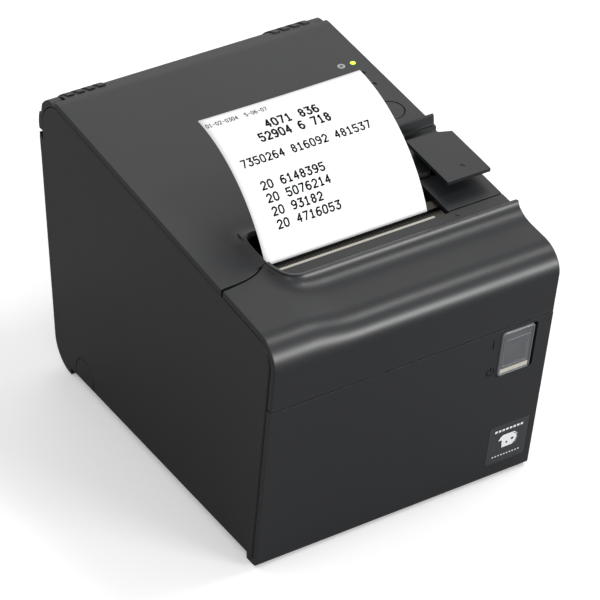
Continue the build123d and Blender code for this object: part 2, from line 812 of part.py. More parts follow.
def make_platen():
    """Rubber platen on a steel shaft in two bushes."""
    rubber_left = liner_left_x + liner_wall + 1.2
    rubber_right = liner_right_x - liner_wall - 1.2
    gear_x = frame_left_x - 0.6 - gear_width
    with BuildPart() as platen_shaft:
        add(rod(shaft_diameter, gear_x - 1.0, liner_right_x + 2.0, platen_y, platen_z))
    finish(platen_shaft.part, "platen_shaft")
    with BuildPart() as platen_roller:
        with BuildSketch(Plane.YZ.offset(rubber_left)):
            with Locations((platen_y, platen_z)):
                Circle(platen_radius)
                Circle(shaft_diameter / 2, mode=Mode.SUBTRACT)
        extrude(amount=rubber_right - rubber_left)
    finish(platen_roller.part, "platen_roller")
    with BuildPart() as platen_bushes:
        for start in (liner_left_x - 0.5, liner_right_x - liner_wall - 0.5):
            with BuildSketch(Plane.YZ.offset(start)):
                with Locations((platen_y, platen_z)):
                    Circle(bush_diameter / 2)
                    Circle(shaft_diameter / 2 + running_clearance, mode=Mode.SUBTRACT)
            extrude(amount=liner_wall + 1.0)
    finish(platen_bushes.part, "platen_bushes")


def make_print_head():
    """Ceramic head on an aluminium heat sink that tips on a pin against two springs."""
    left = paper_left_x - 1.5
    right = paper_right_x + 1.2
    with BuildPart() as head_heatsink:
        add(side_polygon([(heatsink_y, platen_z - 12.0), (heatsink_y + heatsink_thickness, platen_z - 12.0),
                          (heatsink_y + heatsink_thickness, platen_z + 5.5), (heatsink_y, platen_z + 5.5)],
                         left, right))
        for ear in (left, right - 5.0):
            add(rod(head_pin_diameter + 4.0, ear, ear + 5.0, head_pin_y, head_pin_z))
        with BuildSketch(Plane.YZ.offset(left - 1)):
            with Locations((head_pin_y, head_pin_z)):
                Circle(head_pin_diameter / 2 + running_clearance)
        extrude(amount=right - left + 2, mode=Mode.SUBTRACT)
    finish(head_heatsink.part, "head_heatsink")

    face = heatsink_y + heatsink_thickness
    with BuildPart() as thermal_head:
        add(side_polygon([(face, platen_z - 6), (head_face_y, platen_z - 6), (head_face_y, platen_z + 4),
                          (head_face_y - 0.5, platen_z + 4.8), (face, platen_z + 4.8)], left, right))
    finish(thermal_head.part, "thermal_head")

    with BuildPart() as head_pin:
        add(rod(head_pin_diameter, frame_left_x, frame_right_x + sheet_steel, head_pin_y, head_pin_z))
    finish(head_pin.part, "head_pin")

    spring_start = frame_front_y + sheet_steel + spring_gap
    spring_length = heatsink_y - spring_gap - spring_start
    with BuildPart() as head_springs:
        for x in (paper_middle_x - 24, paper_middle_x + 24):
            base = Plane((x, spring_start, platen_z), x_dir=(1, 0, 0), z_dir=(0, 1, 0))
            add(coil_spring(base, 2.2, spring_length, 4, 0.5))
    finish(head_springs.part, "head_springs")


def make_latch_and_sensor():
    """Catch pin for the lever's hook, and the switch that feels the closed cover."""
    with BuildPart() as latch_pin:
        add(rod(4.0, frame_right_x + sheet_steel, wall_inner, lever_pivot_y + 8.3, lever_pivot_z - 17.0))
    finish(latch_pin.part, "latch_pin")
    with BuildPart() as cover_sensor:
        add(side_polygon([(frame_back_y - 14, platen_z - 32), (frame_back_y - 2, platen_z - 32),
                          (frame_back_y - 2, platen_z - 24), (frame_back_y - 14, platen_z - 24)],
                         frame_right_x - 5.0, frame_right_x))
    finish(cover_sensor.part, "cover_sensor")


# --------------------------------------------------------------------- blades


def make_blades():
    """Toothed tear blade, counter blade on the cover, and the sliding cutter."""
    blade_top = -strip_drop - strip_thickness
    tip = along_slope(tear_tip_y)
    root = tip - tear_depth
    count = round((tear_right_x - tear_left_x) / tear_pitch)
    strip_rear = root - 2.1
    strip_front = along_slope(lip_y) + 0.6
    points = [(frame_right_x + sheet_steel, strip_rear - 0.8), (frame_right_x + sheet_steel, strip_front + 1.5),
              (frame_left_x, strip_front + 1.5), (frame_left_x, strip_rear - 0.8),
              (tear_left_x, strip_rear - 0.8), (tear_left_x, root)]
    for tooth in range(count):
        x = tear_left_x + tooth * tear_pitch
        points += [(x + tear_pitch / 2, tip), (x + tear_pitch, root)]
    points.append((tear_left_x + count * tear_pitch, strip_rear - 0.8))
    with BuildPart() as tear_blade:
        with BuildSketch(slope_plane.offset(blade_top - blade_thickness)):
            with BuildLine():
                Polyline(points, close=True)
            make_face()
        extrude(amount=blade_thickness)
    finish(tear_blade.part, "tear_blade")

    with BuildPart() as cutter_cover:
        with BuildSketch(slope_plane.offset(blade_top)):
            with BuildLine():
                Polyline((tear_left_x, strip_front), (cover_half, strip_front),
                         (cover_half, along_slope(step_front_y) - 0.7),
                         (tear_right_x + 0.8, along_slope(step_front_y) - 0.7),
                         (tear_right_x + 0.8, strip_rear), (tear_left_x, strip_rear), close=True)
            make_face()
        extrude(amount=strip_thickness)
        with BuildSketch(slope_plane.offset(-strip_drop - 0.25)):
            for x in (tear_left_x + 4.0, 44.0):
                with Locations((x, strip_rear - 3.4)):
                    Triangle(a=2.4, b=2.4, c=2.4)
        extrude(amount=0.5, mode=Mode.SUBTRACT)
    finish(cutter_cover.part, "cutter_cover")

    counter_top = blade_top - blade_thickness - 0.3
    with BuildPart() as counter_blade:
        with BuildSketch(slope_plane.offset(counter_top - blade_thickness)):
            with Locations(((liner_left_x + liner_right_x) / 2, tip + 5.4)):
                Rectangle(liner_right_x - liner_left_x, 5.0)
        extrude(amount=blade_thickness)
    finish(counter_blade.part, "counter_blade")

    cutter_top = counter_top - blade_thickness - free_clearance
    rack_x = paper_right_x + 4.9
    rack_front = tip - 15.2
    rack_middle = tip - cutter_travel
    pitch = pi * gear_module
    with BuildPart() as cutter_blade:
        with BuildSketch(slope_plane.offset(cutter_top - blade_thickness)):
            with Locations(((paper_left_x + rack_x) / 2 - 0.9, (rack_front + tip - 0.8) / 2)):
                Rectangle(rack_x - paper_left_x + 1.8 - 1.25 * gear_module * 2, tip - 0.8 - rack_front)
            half_root = pitch / 4 - gear_backlash * gear_module / 2 + 1.25 * gear_module * tan(radians(20))
            half_tip = pitch / 4 - gear_backlash * gear_module / 2 - 0.95 * gear_module * tan(radians(20))
            root_x = rack_x - 1.25 * gear_module
            for tooth in range(-3, 2):
                middle = rack_middle + tooth * pitch
                with BuildLine():
                    Polyline((root_x - 1.5, middle - half_root), (root_x, middle - half_root),
                             (rack_x + 0.95 * gear_module, middle - half_tip),
                             (rack_x + 0.95 * gear_module, middle + half_tip),
                             (root_x, middle + half_root), (root_x - 1.5, middle + half_root), close=True)
                make_face()
        extrude(amount=blade_thickness)
    finish(cutter_blade.part, "cutter_blade")

    pinion_x = rack_x + gear_module * pinion_teeth / 2 + mesh_allowance
    with BuildPart() as cutter_pinion:
        with BuildSketch(slope_plane.offset(cutter_top - 2.2)):
            with Locations((pinion_x, rack_middle)):
                add(involute_gear(pinion_teeth, 180 + 180 / pinion_teeth, 0))
        extrude(amount=2.6)
        with BuildSketch(slope_plane.offset(cutter_top - 5.0)):
            with Locations((pinion_x, rack_middle)):
                Circle(motor_shaft_diameter / 2)
        extrude(amount=3.0)
    finish(cutter_pinion.part, "cutter_pinion")

    with BuildPart() as cutter_motor:
        with BuildSketch(slope_plane.offset(cutter_top - 3.2)):
            with Locations((pinion_x, rack_middle)):
                Circle(cutter_motor_diameter / 2)
        extrude(amount=-cutter_motor_length)
        with BuildSketch(slope_plane.offset(cutter_top - 3.2)):
            with Locations((pinion_x, rack_middle)):
                Circle(motor_shaft_diameter / 2 + free_clearance)
        extrude(amount=-2.6, mode=Mode.SUBTRACT)
    finish(cutter_motor.part, "cutter_motor")


# ----------------------------------------------------------------- roll cover


def seam_curve(shift):
    """Plan view edge between the front cover and the roll cover, left of the paper."""
    return [(-half_width - 1, cover_seam_y + shift), (-58.0, cover_seam_y + 1.0 + shift),
            (-51.0, cover_seam_y + 3.0 + shift), (exit_left_x, cover_seam_y + 8.5 + shift)]


def make_roll_cover():
    """Sloping top that opens: exit, lever bay, fin, button and lamp holes, hinge knuckles."""
    with BuildPart() as roll_cover:
        add(outer_band())
        with BuildSketch(Plane.YZ.offset(-half_width)):
            with BuildLine():
                Polyline((-70, 100), (rear_y + 1, 100), (rear_y + 1, 170), (-70, 170), close=True)
            make_face()
        extrude(amount=width, mode=Mode.INTERSECT)
        with BuildSketch(Plane.YZ.offset(-half_width)):
            with BuildLine():
                Polyline((hinge_y, hinge_z - 40), (rear_y + 1, hinge_z - 40), (rear_y + 1, hinge_z),
                         (hinge_y, hinge_z), close=True)
            make_face()
            with Locations((hinge_y, hinge_z)):
                Circle(wrap_radius(), mode=Mode.SUBTRACT)
        extrude(amount=width, mode=Mode.SUBTRACT)
        for start in (-half_width, wall_inner - seam):
            with BuildSketch(Plane.YZ.offset(start)):
                with Locations((hinge_y, hinge_z)):
                    Circle(cheek_radius + seam)
                with BuildLine():
                    Polyline((hinge_y - 4.5, 100), (rear_y + 2, 100), (rear_y + 2, 170),
                             (hinge_y - 4.5, 170), close=True)
                make_face()
            extrude(amount=half_width - wall_inner + seam, mode=Mode.SUBTRACT)
        with BuildSketch(Plane.XY.offset(100)):
            with BuildLine():
                edge = Spline(seam_curve(1.0))
                Polyline(edge @ 1, (exit_left_x, -75), (-half_width - 1, -75), edge @ 0)
            make_face()
            with BuildLine():
                Polyline((exit_left_x, -75), (half_width + 1, -75), (half_width + 1, bay_rear_y),
                         (bay_left_x, bay_rear_y), (bay_left_x, exit_rear_y + bay_corner),
                         (bay_left_x - 0.3 * bay_corner, exit_rear_y + 0.3 * bay_corner),
                         (bay_left_x - bay_corner, exit_rear_y), (exit_left_x, exit_rear_y),
                         close=True)
            make_face()
        extrude(amount=60, mode=Mode.SUBTRACT)
        shelf_top = -2.2
        with BuildSketch(slope_plane.offset(shelf_top - skin)):
            with BuildLine():
                Polyline((bay_left_x - skin, along_slope(bay_rear_y) - 6.5),
                         (cover_half, along_slope(bay_rear_y) - 6.5),
                         (cover_half, along_slope(bay_rear_y) + 2.0),
                         (bay_left_x - skin, along_slope(bay_rear_y) + 2.0), close=True)
            make_face()
        extrude(amount=skin)
        fin_back = fin_front_y + fin_thickness
        add(side_polygon([(fin_front_y, slope_height(fin_front_y) - 1.5),
                          (fin_front_y + 0.3, slope_height(fin_front_y) + fin_height),
                          (fin_front_y + 1.3, slope_height(fin_front_y) + fin_height + 0.3),
                          (fin_back, slope_height(fin_back) - 0.5),
                          (fin_back, slope_height(fin_back) - 1.5)], bay_left_x - 4, cover_half))
        with BuildSketch(slope_plane.offset(-1.0)):
            with BuildLine():
                Polyline((exit_left_x - 0.5, along_slope(cover_seam_y + 9.2)),
                         (exit_left_x, along_slope(cover_seam_y + 9.5)),
                         (exit_left_x, along_slope(exit_rear_y)),
                         (exit_left_x - 0.5, along_slope(exit_rear_y)), close=True)
            make_face()
        extrude(amount=2.2)
        with BuildSketch(slope_plane.offset(-skin - 1)):
            with Locations((button_x, along_slope(button_y))):
                Circle(button_diameter / 2 + free_clearance)
            for y in lamp_ys:
                with Locations((lamp_x, along_slope(y))):
                    Circle(lamp_diameter / 2)
        extrude(amount=skin + 2, mode=Mode.SUBTRACT)
        for side in (-1, 1):
            for rib in range(4):
                middle = side * (wall_inner - 4.0 - 5.2 * rib)
                with BuildSketch(Plane.YZ.offset(middle - 1.7)):
                    add(case_outline(-0.6))
                    add(case_outline(skin / 2), mode=Mode.SUBTRACT)
                    with BuildLine():
                        Polyline((rear_y - 16, hinge_z + 3.7), (rear_y + 2, hinge_z + 3.7),
                                 (rear_y + 2, hinge_z + 15.7), (rear_y - 16, hinge_z + 15.7), close=True)
                    make_face(mode=Mode.INTERSECT)
                extrude(amount=3.4)
            knuckle_start = wall_inner - 12.0 if side > 0 else -(wall_inner - 1.0)
            add(rod(2 * knuckle_radius, knuckle_start, knuckle_start + 11.0, hinge_y, hinge_z))
        with BuildSketch(Plane.YZ.offset(-half_width)):
            with Locations((hinge_y, hinge_z)):
                Circle(hinge_pin_diameter / 2 + running_clearance)
        extrude(amount=width, mode=Mode.SUBTRACT)
        add(side_panel_space(), mode=Mode.SUBTRACT)
    finish(roll_cover.part, "roll_cover")

    with BuildPart() as hinge_pin:
        add(rod(hinge_pin_diameter, -wall_outer, wall_outer, hinge_y, hinge_z))
    finish(hinge_pin.part, "hinge_pin")


def counter_z(y):
    """Height of the underside of the counter blade at y."""
    return slope_height(y) - (strip_drop + strip_thickness + 2 * blade_thickness + 0.3) / cos(tilt)


def make_roll_cover_liner():
    """Inner moulding under the roll cover: floor, two walls that carry the platen bushes."""
    rear = 66.0
    under = skin + 0.05
    floor_points = [(platen_y + 9.5, platen_z - 1), (platen_y + 9.5, platen_z + 1.2),
                    (-18, platen_z + 3.2), (rear, slope_height(rear) - 16), (rear, slope_height(rear) - 18),
                    (-18, platen_z + 1.0)]
    wall_points = [(platen_y - 5.6, platen_z - 3), (platen_y - 4, platen_z - 6), (platen_y + 5, platen_z - 6),
                   (platen_y + 9.5, platen_z - 1), (-18, platen_z + 1), (rear, slope_height(rear) - 18),
                   (rear, slope_height(rear) - under), (exit_rear_y + 1, slope_height(exit_rear_y + 1) - under),
                   (exit_rear_y - 1, counter_z(exit_rear_y - 1)),
                   (platen_y - 5.6, counter_z(platen_y - 5.6))]
    with BuildPart() as roll_cover_liner:
        add(side_polygon(floor_points, liner_left_x, liner_right_x))
        add(side_polygon(wall_points, liner_left_x, liner_left_x + liner_wall))
        add(side_polygon(wall_points, liner_right_x - liner_wall, liner_right_x))
        with BuildSketch(Plane.YZ.offset(liner_left_x - 1)):
            with Locations((platen_y, platen_z)):
                Circle(bush_diameter / 2)
        extrude(amount=liner_right_x - liner_left_x + 2, mode=Mode.SUBTRACT)
    finish(roll_cover_liner.part, "roll_cover_liner")


def make_controls():
    """Feed button with its spring, lamps, and the small board below them."""
    board_drop = 9.0
    middle_t = along_slope((button_y + lamp_ys[0]) / 2)
    with BuildPart() as status_board:
        with BuildSketch(slope_plane.offset(-board_drop - board_thickness)):
            with Locations((button_x, middle_t)):
                Rectangle(12.5, along_slope(lamp_ys[0] - button_y) + 14)
        extrude(amount=board_thickness)
        with BuildSketch(slope_plane.offset(-board_drop)):
            for y in (button_y + 12, lamp_ys[0] + 4.5):
                with Locations((button_x, along_slope(y))):
                    Circle(2.0)
        extrude(amount=board_drop - skin)
    finish(status_board.part, "status_board")

    with BuildPart() as feed_button:
        with BuildSketch(slope_plane.offset(-skin)):
            with Locations((button_x, along_slope(button_y))):
                Circle(button_diameter / 2)
        extrude(amount=skin)
        top_edges = feed_button.faces().sort_by(Axis((0, 0, 0), slope_plane.z_dir))[-1].edges()
        fillet(top_edges, 0.4)
        with BuildSketch(slope_plane.offset(-skin - 0.3)):
            with Locations((button_x, along_slope(button_y))):
                Circle(button_diameter / 2 - 0.2)
        extrude(amount=0.3)
        with BuildSketch(slope_plane.offset(-skin - 1.5)):
            with Locations((button_x, along_slope(button_y))):
                Circle(button_diameter / 2 + 1.6)
        extrude(amount=1.2)
        with BuildSketch(slope_plane.offset(-board_drop + button_travel + 0.4)):
            with Locations((button_x, along_slope(button_y))):
                Circle(2.0)
        extrude(amount=board_drop - button_travel - 0.4 - skin - 1.5)
    finish(feed_button.part, "feed_button")

    with BuildPart() as button_spring:
        base = slope_plane.offset(-board_drop + spring_gap)
        centre = base.from_local_coords(Vector(button_x, along_slope(button_y), 0))
        length = board_drop - skin - 1.5 - 2 * spring_gap
        add(coil_spring(Plane(centre, x_dir=(1, 0, 0), z_dir=slope_plane.z_dir), 3.2, length, 4, 0.5))
    finish(button_spring.part, "button_spring")

    with BuildPart() as power_lamp:
        with BuildSketch(slope_plane.offset(-board_drop)):
            with Locations((lamp_x, along_slope(lamp_ys[0]))):
                Circle(lamp_diameter / 2)
        extrude(amount=board_drop + 0.1)
    finish(power_lamp.part, "power_lamp")

    with BuildPart() as warning_lamps:
        with BuildSketch(slope_plane.offset(-board_drop)):
            for y in lamp_ys[1:]:
                with Locations((lamp_x, along_slope(y))):
                    Circle(lamp_diameter / 2)
        extrude(amount=board_drop - 0.4)
    finish(warning_lamps.part, "warning_lamps")


def make_lever():
    """Cover lever with side arms and hook, on a pin, over a lower step plate."""
    plate_low = lever_lift - lever_thickness
    front = along_slope(lever_front_y)
    rear = along_slope(lever_rear_y)
    arm_width = 2.2
    with BuildPart() as cover_lever:
        with BuildSketch(slope_plane.offset(plate_low)):
            with BuildLine():
                Polyline((lever_left_x, front), (lever_right_x, front), (lever_right_x, rear - 3),
                         (lever_right_x - 5, rear - 1.2), (lever_right_x - 7, rear),
                         (lever_left_x, rear), close=True)
            make_face()
        extrude(amount=lever_thickness)
        with BuildSketch(slope_plane.offset(lever_lift - 0.25)):
            with Locations(((lever_left_x + lever_right_x) / 2 + 1, front + 7.0)):
                Triangle(a=2.6, b=2.6, c=2.6)
        extrude(amount=0.5, mode=Mode.SUBTRACT)
        plate_z = slope_height(lever_pivot_y) + plate_low + 0.3
        arm_x = bay_left_x + 1.0
        add(side_polygon([(lever_pivot_y - 8, slope_height(lever_pivot_y - 8) + plate_low + 0.3),
                          (lever_pivot_y - 2, lever_pivot_z - 2), (lever_pivot_y + 2, lever_pivot_z - 2),
                          (lever_pivot_y + 1.8, plate_z + 0.2)], arm_x, arm_x + arm_width))
        add(rod(lever_pin_diameter + 3.0, arm_x, arm_x + arm_width, lever_pivot_y, lever_pivot_z))
        hook_x = frame_right_x + sheet_steel + 1.0
        hook_low = lever_pivot_z - 22.0
        add(side_polygon([(lever_pivot_y - 2, hook_low), (lever_pivot_y + 5.6, hook_low),
                          (lever_pivot_y + 4.4, hook_low + 2.2), (lever_pivot_y + 1.5, hook_low + 2.6),
                          (lever_pivot_y + 1.5, plate_z), (lever_pivot_y - 2, plate_z - 0.6)],
                         hook_x, hook_x + 3.0))
        add(rod(lever_pin_diameter + 3.0, hook_x, hook_x + 3.0, lever_pivot_y, lever_pivot_z))
        with BuildSketch(Plane.YZ.offset(lever_left_x)):
            with Locations((lever_pivot_y, lever_pivot_z)):
                Circle(lever_pin_diameter / 2 + running_clearance)
        extrude(amount=lever_right_x - lever_left_x, mode=Mode.SUBTRACT)
    finish(cover_lever.part, "cover_lever")

    with BuildPart() as lever_pin:
        add(rod(lever_pin_diameter, bay_left_x - 1.8, wall_inner - seam, lever_pivot_y, lever_pivot_z))
    finish(lever_pin.part, "lever_pin")

    with BuildPart() as lever_spring:
        spring_x = bay_left_x + 1.0 + arm_width + spring_gap
        length = frame_right_x + sheet_steel + 1.0 - spring_gap - spring_x
        base = Plane((spring_x, lever_pivot_y, lever_pivot_z), x_dir=(0, 1, 0), z_dir=(1, 0, 0))
        add(coil_spring(base, 2.4, length, 3, 0.5))
    finish(lever_spring.part, "lever_spring")

    step_top = -strip_drop
    step_left_x = exit_right_x + 0.4
    with BuildPart() as lever_step:
        with BuildSketch(slope_plane.offset(step_top - step_thickness)):
            with BuildLine():
                Polyline((step_left_x, along_slope(step_front_y)), (cover_half, along_slope(step_front_y)),
                         (cover_half, along_slope(step_rear_y)), (step_left_x, along_slope(step_rear_y)),
                         close=True)
            make_face()
        extrude(amount=step_thickness)
        web_low = lever_pivot_z - 4.5
        web_high = lever_pivot_z + lever_pin_diameter / 2 + 0.4
        web_rear = lever_pivot_y + 4.0
        for start in (bay_left_x - step_thickness - 0.4, wall_inner - seam - step_thickness):
            add(side_polygon([(step_rear_y - 3, slope_height(step_rear_y - 3) + step_top - 0.1),
                              (step_rear_y - 3, web_low), (web_rear, web_low), (web_rear, web_high),
                              (exit_rear_y, slope_height(exit_rear_y) - skin - free_clearance),
                              (step_rear_y, slope_height(step_rear_y) - skin - free_clearance)],
                             start, start + step_thickness))
        with BuildSketch(Plane.YZ.offset(bay_left_x - skin - 1)):
            with Locations((lever_pivot_y, lever_pivot_z)):
                Circle(lever_pin_diameter / 2)
        extrude(amount=cover_half - bay_left_x + 4, mode=Mode.SUBTRACT)
        add(side_panel_space(), mode=Mode.SUBTRACT)
    finish(lever_step.part, "lever_step")


def make_receipt():
    """Printed receipt that rises from the exit and curls back over the cover."""
    start = (nip_y - 0.55, slope_height(tear_tip_y) - strip_drop - strip_thickness + 0.2)
    with BuildPart() as receipt:
        with BuildSketch(Plane.YZ.offset(paper_left_x)):
            with BuildLine():
                ThreePointArc(start, receipt_middle, receipt_end)
            trace(line_width=paper_thickness)
        extrude(amount=paper_width)
    finish(receipt.part, "receipt")


# ---------------------------------------------------------------- front cover


def make_front_cover():
    """Rounded front top with a raised lip that turns back beside the paper."""
    valley_z = slope_height(valley_y) - valley_drop
    lip_z = slope_height(lip_y) + lip_height
    with BuildPart() as front_cover:
        add(outer_band())
        with BuildSketch(Plane.YZ.offset(-half_width)):
            with BuildLine():
                Polyline((-120, seam_z + seam), (lip_y, seam_z + seam), (lip_y, 150), (-120, 150), close=True)
            make_face()
            with BuildLine():
                Polyline((lip_y - 1, slope_height(lip_y) - 8), (exit_left_x, slope_height(lip_y) - 8),
                         (exit_left_x, 150), (lip_y - 1, 150), close=True)
            make_face()
        extrude(amount=width, mode=Mode.INTERSECT)
        with BuildSketch(Plane.XY.offset(100)):
            with BuildLine():
                edge = Spline(seam_curve(0.0))
                Polyline(edge @ 1, (exit_left_x, 0), (-half_width - 1, 0), edge @ 0)
            make_face()
            with BuildLine():
                Polyline((exit_left_x, lip_y), (lip_left_x, lip_y), (lip_left_x, 0), (exit_left_x, 0), close=True)
            make_face()
        extrude(amount=60, mode=Mode.SUBTRACT)
        with BuildSketch(Plane.YZ.offset(lip_left_x)):
            with BuildLine():
                Polyline((-93.5, 110), (-93.5, 150), (-40, 150), (-40, 110), close=True)
            make_face()
        extrude(amount=half_width - lip_left_x + 1, mode=Mode.SUBTRACT)
        front_top = (-94.0, slope_height(-94.0) - 2.6)
        with BuildSketch(Plane.YZ.offset(lip_left_x)):
            with BuildLine():
                outer = ThreePointArc((valley_y, valley_z), (lip_y - 4.6, valley_z + 2.6),
                                      (lip_y - lip_thickness, lip_z - 0.6))
                Polyline(outer @ 1, (lip_y - lip_thickness + 0.6, lip_z), (lip_y, lip_z),
                         (lip_y, lip_z - 3.4), (lip_y - 3.2, valley_z - 1.6), (valley_y, valley_z - skin),
                         (front_top[0] - 3.0, front_top[1] - skin - 1.0), front_top, outer @ 0)
            make_face()
        extrude(amount=cover_half - lip_left_x)
        with BuildSketch(slope_plane.offset(-skin + 0.1)):
            with BuildLine():
                Polyline((lip_left_x, along_slope(lip_y)), (lip_left_x, along_slope(lip_y) - 6),
                         (exit_left_x + 0.2, along_slope(lip_y) - 6),
                         (exit_left_x - 1.6, along_slope(cover_seam_y) + 5.4),
                         (exit_left_x, along_slope(cover_seam_y) + 7.6),
                         (exit_left_x + 0.3, along_slope(lip_y) + 0.4), close=True)
            make_face()
        extrude(amount=lip_height + skin - 0.2)
        for start in (-wall_inner + 3, wall_inner - 6):
            add(side_polygon([(front_depth(seam_z) + 1, seam_z + seam), (frame_front_y + 2, seam_z + seam),
                              (frame_front_y + 2, seam_z + 4), (front_depth(seam_z + 4) + 1, seam_z + 4)],
                             start, start + 3))
        add(side_panel_space(), mode=Mode.SUBTRACT)
    finish(front_cover.part, "front_cover")


os.makedirs("parts", exist_ok=True)
make_base_chassis()
make_rear_cover()
make_side_panels()
make_front_panel()
make_label()
make_power_switch()
make_feet_and_screws()
make_roll_bucket()
make_paper()
make_boards_and_ports()
make_mechanism_frame()
make_drive()
make_platen()
make_print_head()
make_latch_and_sensor()
make_blades()
make_roll_cover()
make_roll_cover_liner()
make_controls()
make_lever()
make_receipt()
make_front_cover()
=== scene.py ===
import json
import math

import bpy
from mathutils import Matrix, Vector


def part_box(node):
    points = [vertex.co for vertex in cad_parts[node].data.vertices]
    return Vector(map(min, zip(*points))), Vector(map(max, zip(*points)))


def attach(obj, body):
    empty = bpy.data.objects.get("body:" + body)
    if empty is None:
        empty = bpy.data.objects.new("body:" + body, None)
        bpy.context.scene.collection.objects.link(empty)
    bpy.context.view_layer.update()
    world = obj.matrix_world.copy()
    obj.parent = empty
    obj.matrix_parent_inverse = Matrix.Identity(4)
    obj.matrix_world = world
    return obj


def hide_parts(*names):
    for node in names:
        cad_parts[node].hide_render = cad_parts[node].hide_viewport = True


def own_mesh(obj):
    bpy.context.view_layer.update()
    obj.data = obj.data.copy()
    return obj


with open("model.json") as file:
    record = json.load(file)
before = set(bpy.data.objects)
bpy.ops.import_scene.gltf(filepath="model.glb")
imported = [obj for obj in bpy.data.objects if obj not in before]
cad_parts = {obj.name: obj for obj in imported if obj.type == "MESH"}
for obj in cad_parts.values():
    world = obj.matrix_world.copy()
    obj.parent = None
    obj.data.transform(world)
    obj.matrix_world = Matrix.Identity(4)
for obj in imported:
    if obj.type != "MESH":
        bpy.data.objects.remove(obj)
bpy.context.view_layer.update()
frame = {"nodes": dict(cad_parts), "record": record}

nodes = frame["nodes"]
mm = 0.001

# The case's sloping top and leaning front: heights and places are in millimetres
tilt = math.radians(6.8)
slope_rise = math.tan(tilt)
slope_base = 138.7
lean = math.radians(10.7)
front_base_y = -83.2


def slope_height(y):
    return slope_base + slope_rise * y


def on_front(x, up, out=0.0):
    """A point on the leaning front, from the distance up the slant and out from it, in millimetres."""
    y = front_base_y - up * math.sin(lean) - out * math.cos(lean)
    return Vector((x, y, up * math.cos(lean) - out * math.sin(lean))) * mm


def on_slope(x, along, above=0.0):
    """A point on the sloping top, from the distance along it and above it, in millimetres."""
    y = along * math.cos(tilt) - above * math.sin(tilt)
    return Vector((x, y, slope_base + along * math.sin(tilt) + above * math.cos(tilt))) * mm


# ---------------------------------------------------------------- node helpers


def place(tree, kind, inputs=None, **settings):
    """Adds a node, with its settings and its inputs as values or links."""
    node = tree.nodes.new(kind)
    for name, value in settings.items():
        setattr(node, name, value)
    for key, value in (inputs or {}).items():
        if isinstance(value, bpy.types.NodeSocket):
            tree.links.new(value, node.inputs[key])
        else:
            node.inputs[key].default_value = value
    return node


def new_effect(name, inputs, outputs):
    """An empty shader group, with its inputs' kinds and starting values."""
    tree = bpy.data.node_groups.new(name, "ShaderNodeTree")
    for label, kind, value in inputs:
        socket = tree.interface.new_socket(label, in_out="INPUT", socket_type=kind)
        socket.default_value = value
    for label, kind in outputs:
        tree.interface.new_socket(label, in_out="OUTPUT", socket_type=kind)
    return tree, tree.nodes.new("NodeGroupInput").outputs, tree.nodes.new("NodeGroupOutput")


COLOUR, VALUE, NORMAL = "NodeSocketColor", "NodeSocketFloat", "NodeSocketVector"


def moulded_grain():
    """Spark-eroded plastic: fine pits, cloudy shade, a little change in gloss, and eased edges."""
    tree, given, out = new_effect(
        "Moulded Grain",
        [("Colour", COLOUR, (0.05, 0.05, 0.05, 1)), ("Cloud", VALUE, 0.1), ("Gloss", VALUE, 0.4),
         ("Gloss Spread", VALUE, 0.1), ("Grain Scale", VALUE, 2200.0), ("Grain Height", VALUE, 0.00002),
         ("Edge Radius", VALUE, 0.00025)],
        [("Colour", COLOUR), ("Roughness", VALUE), ("Normal", NORMAL)])
    where = place(tree, "ShaderNodeTexCoord").outputs["Object"]
    pits = place(tree, "ShaderNodeTexNoise", {"Vector": where, "Scale": given["Grain Scale"],
                                              "Detail": 3.0, "Roughness": 0.6}).outputs["Fac"]
    cloud = place(tree, "ShaderNodeTexNoise",
                  {"Vector": where, "Scale": 22.0, "Detail": 4.0}).outputs["Fac"]
    shade = place(tree, "ShaderNodeMath", {0: cloud, 1: -0.5}, operation="ADD").outputs[0]
    speck = place(tree, "ShaderNodeMath", {0: pits, 1: -0.5}, operation="ADD").outputs[0]
    both = place(tree, "ShaderNodeMath", {0: speck, 1: 1.6, 2: shade},
                 operation="MULTIPLY_ADD").outputs[0]
    factor = place(tree, "ShaderNodeMath", {0: both, 1: given["Cloud"], 2: 1.0},
                   operation="MULTIPLY_ADD").outputs[0]
    colour = place(tree, "ShaderNodeVectorMath", {0: given["Colour"], "Scale": factor},
                   operation="SCALE").outputs[0]
    gloss = place(tree, "ShaderNodeMath", {0: both, 1: given["Gloss Spread"], 2: given["Gloss"]},
                  operation="MULTIPLY_ADD").outputs[0]
    eased = place(tree, "ShaderNodeBevel", {"Radius": given["Edge Radius"]}).outputs[0]
    bump = place(tree, "ShaderNodeBump", {"Strength": 1.0, "Distance": given["Grain Height"],
                                          "Height": pits, "Normal": eased})
    tree.links.new(colour, out.inputs["Colour"])
    tree.links.new(gloss, out.inputs["Roughness"])
    tree.links.new(bump.outputs[0], out.inputs["Normal"])
    return tree


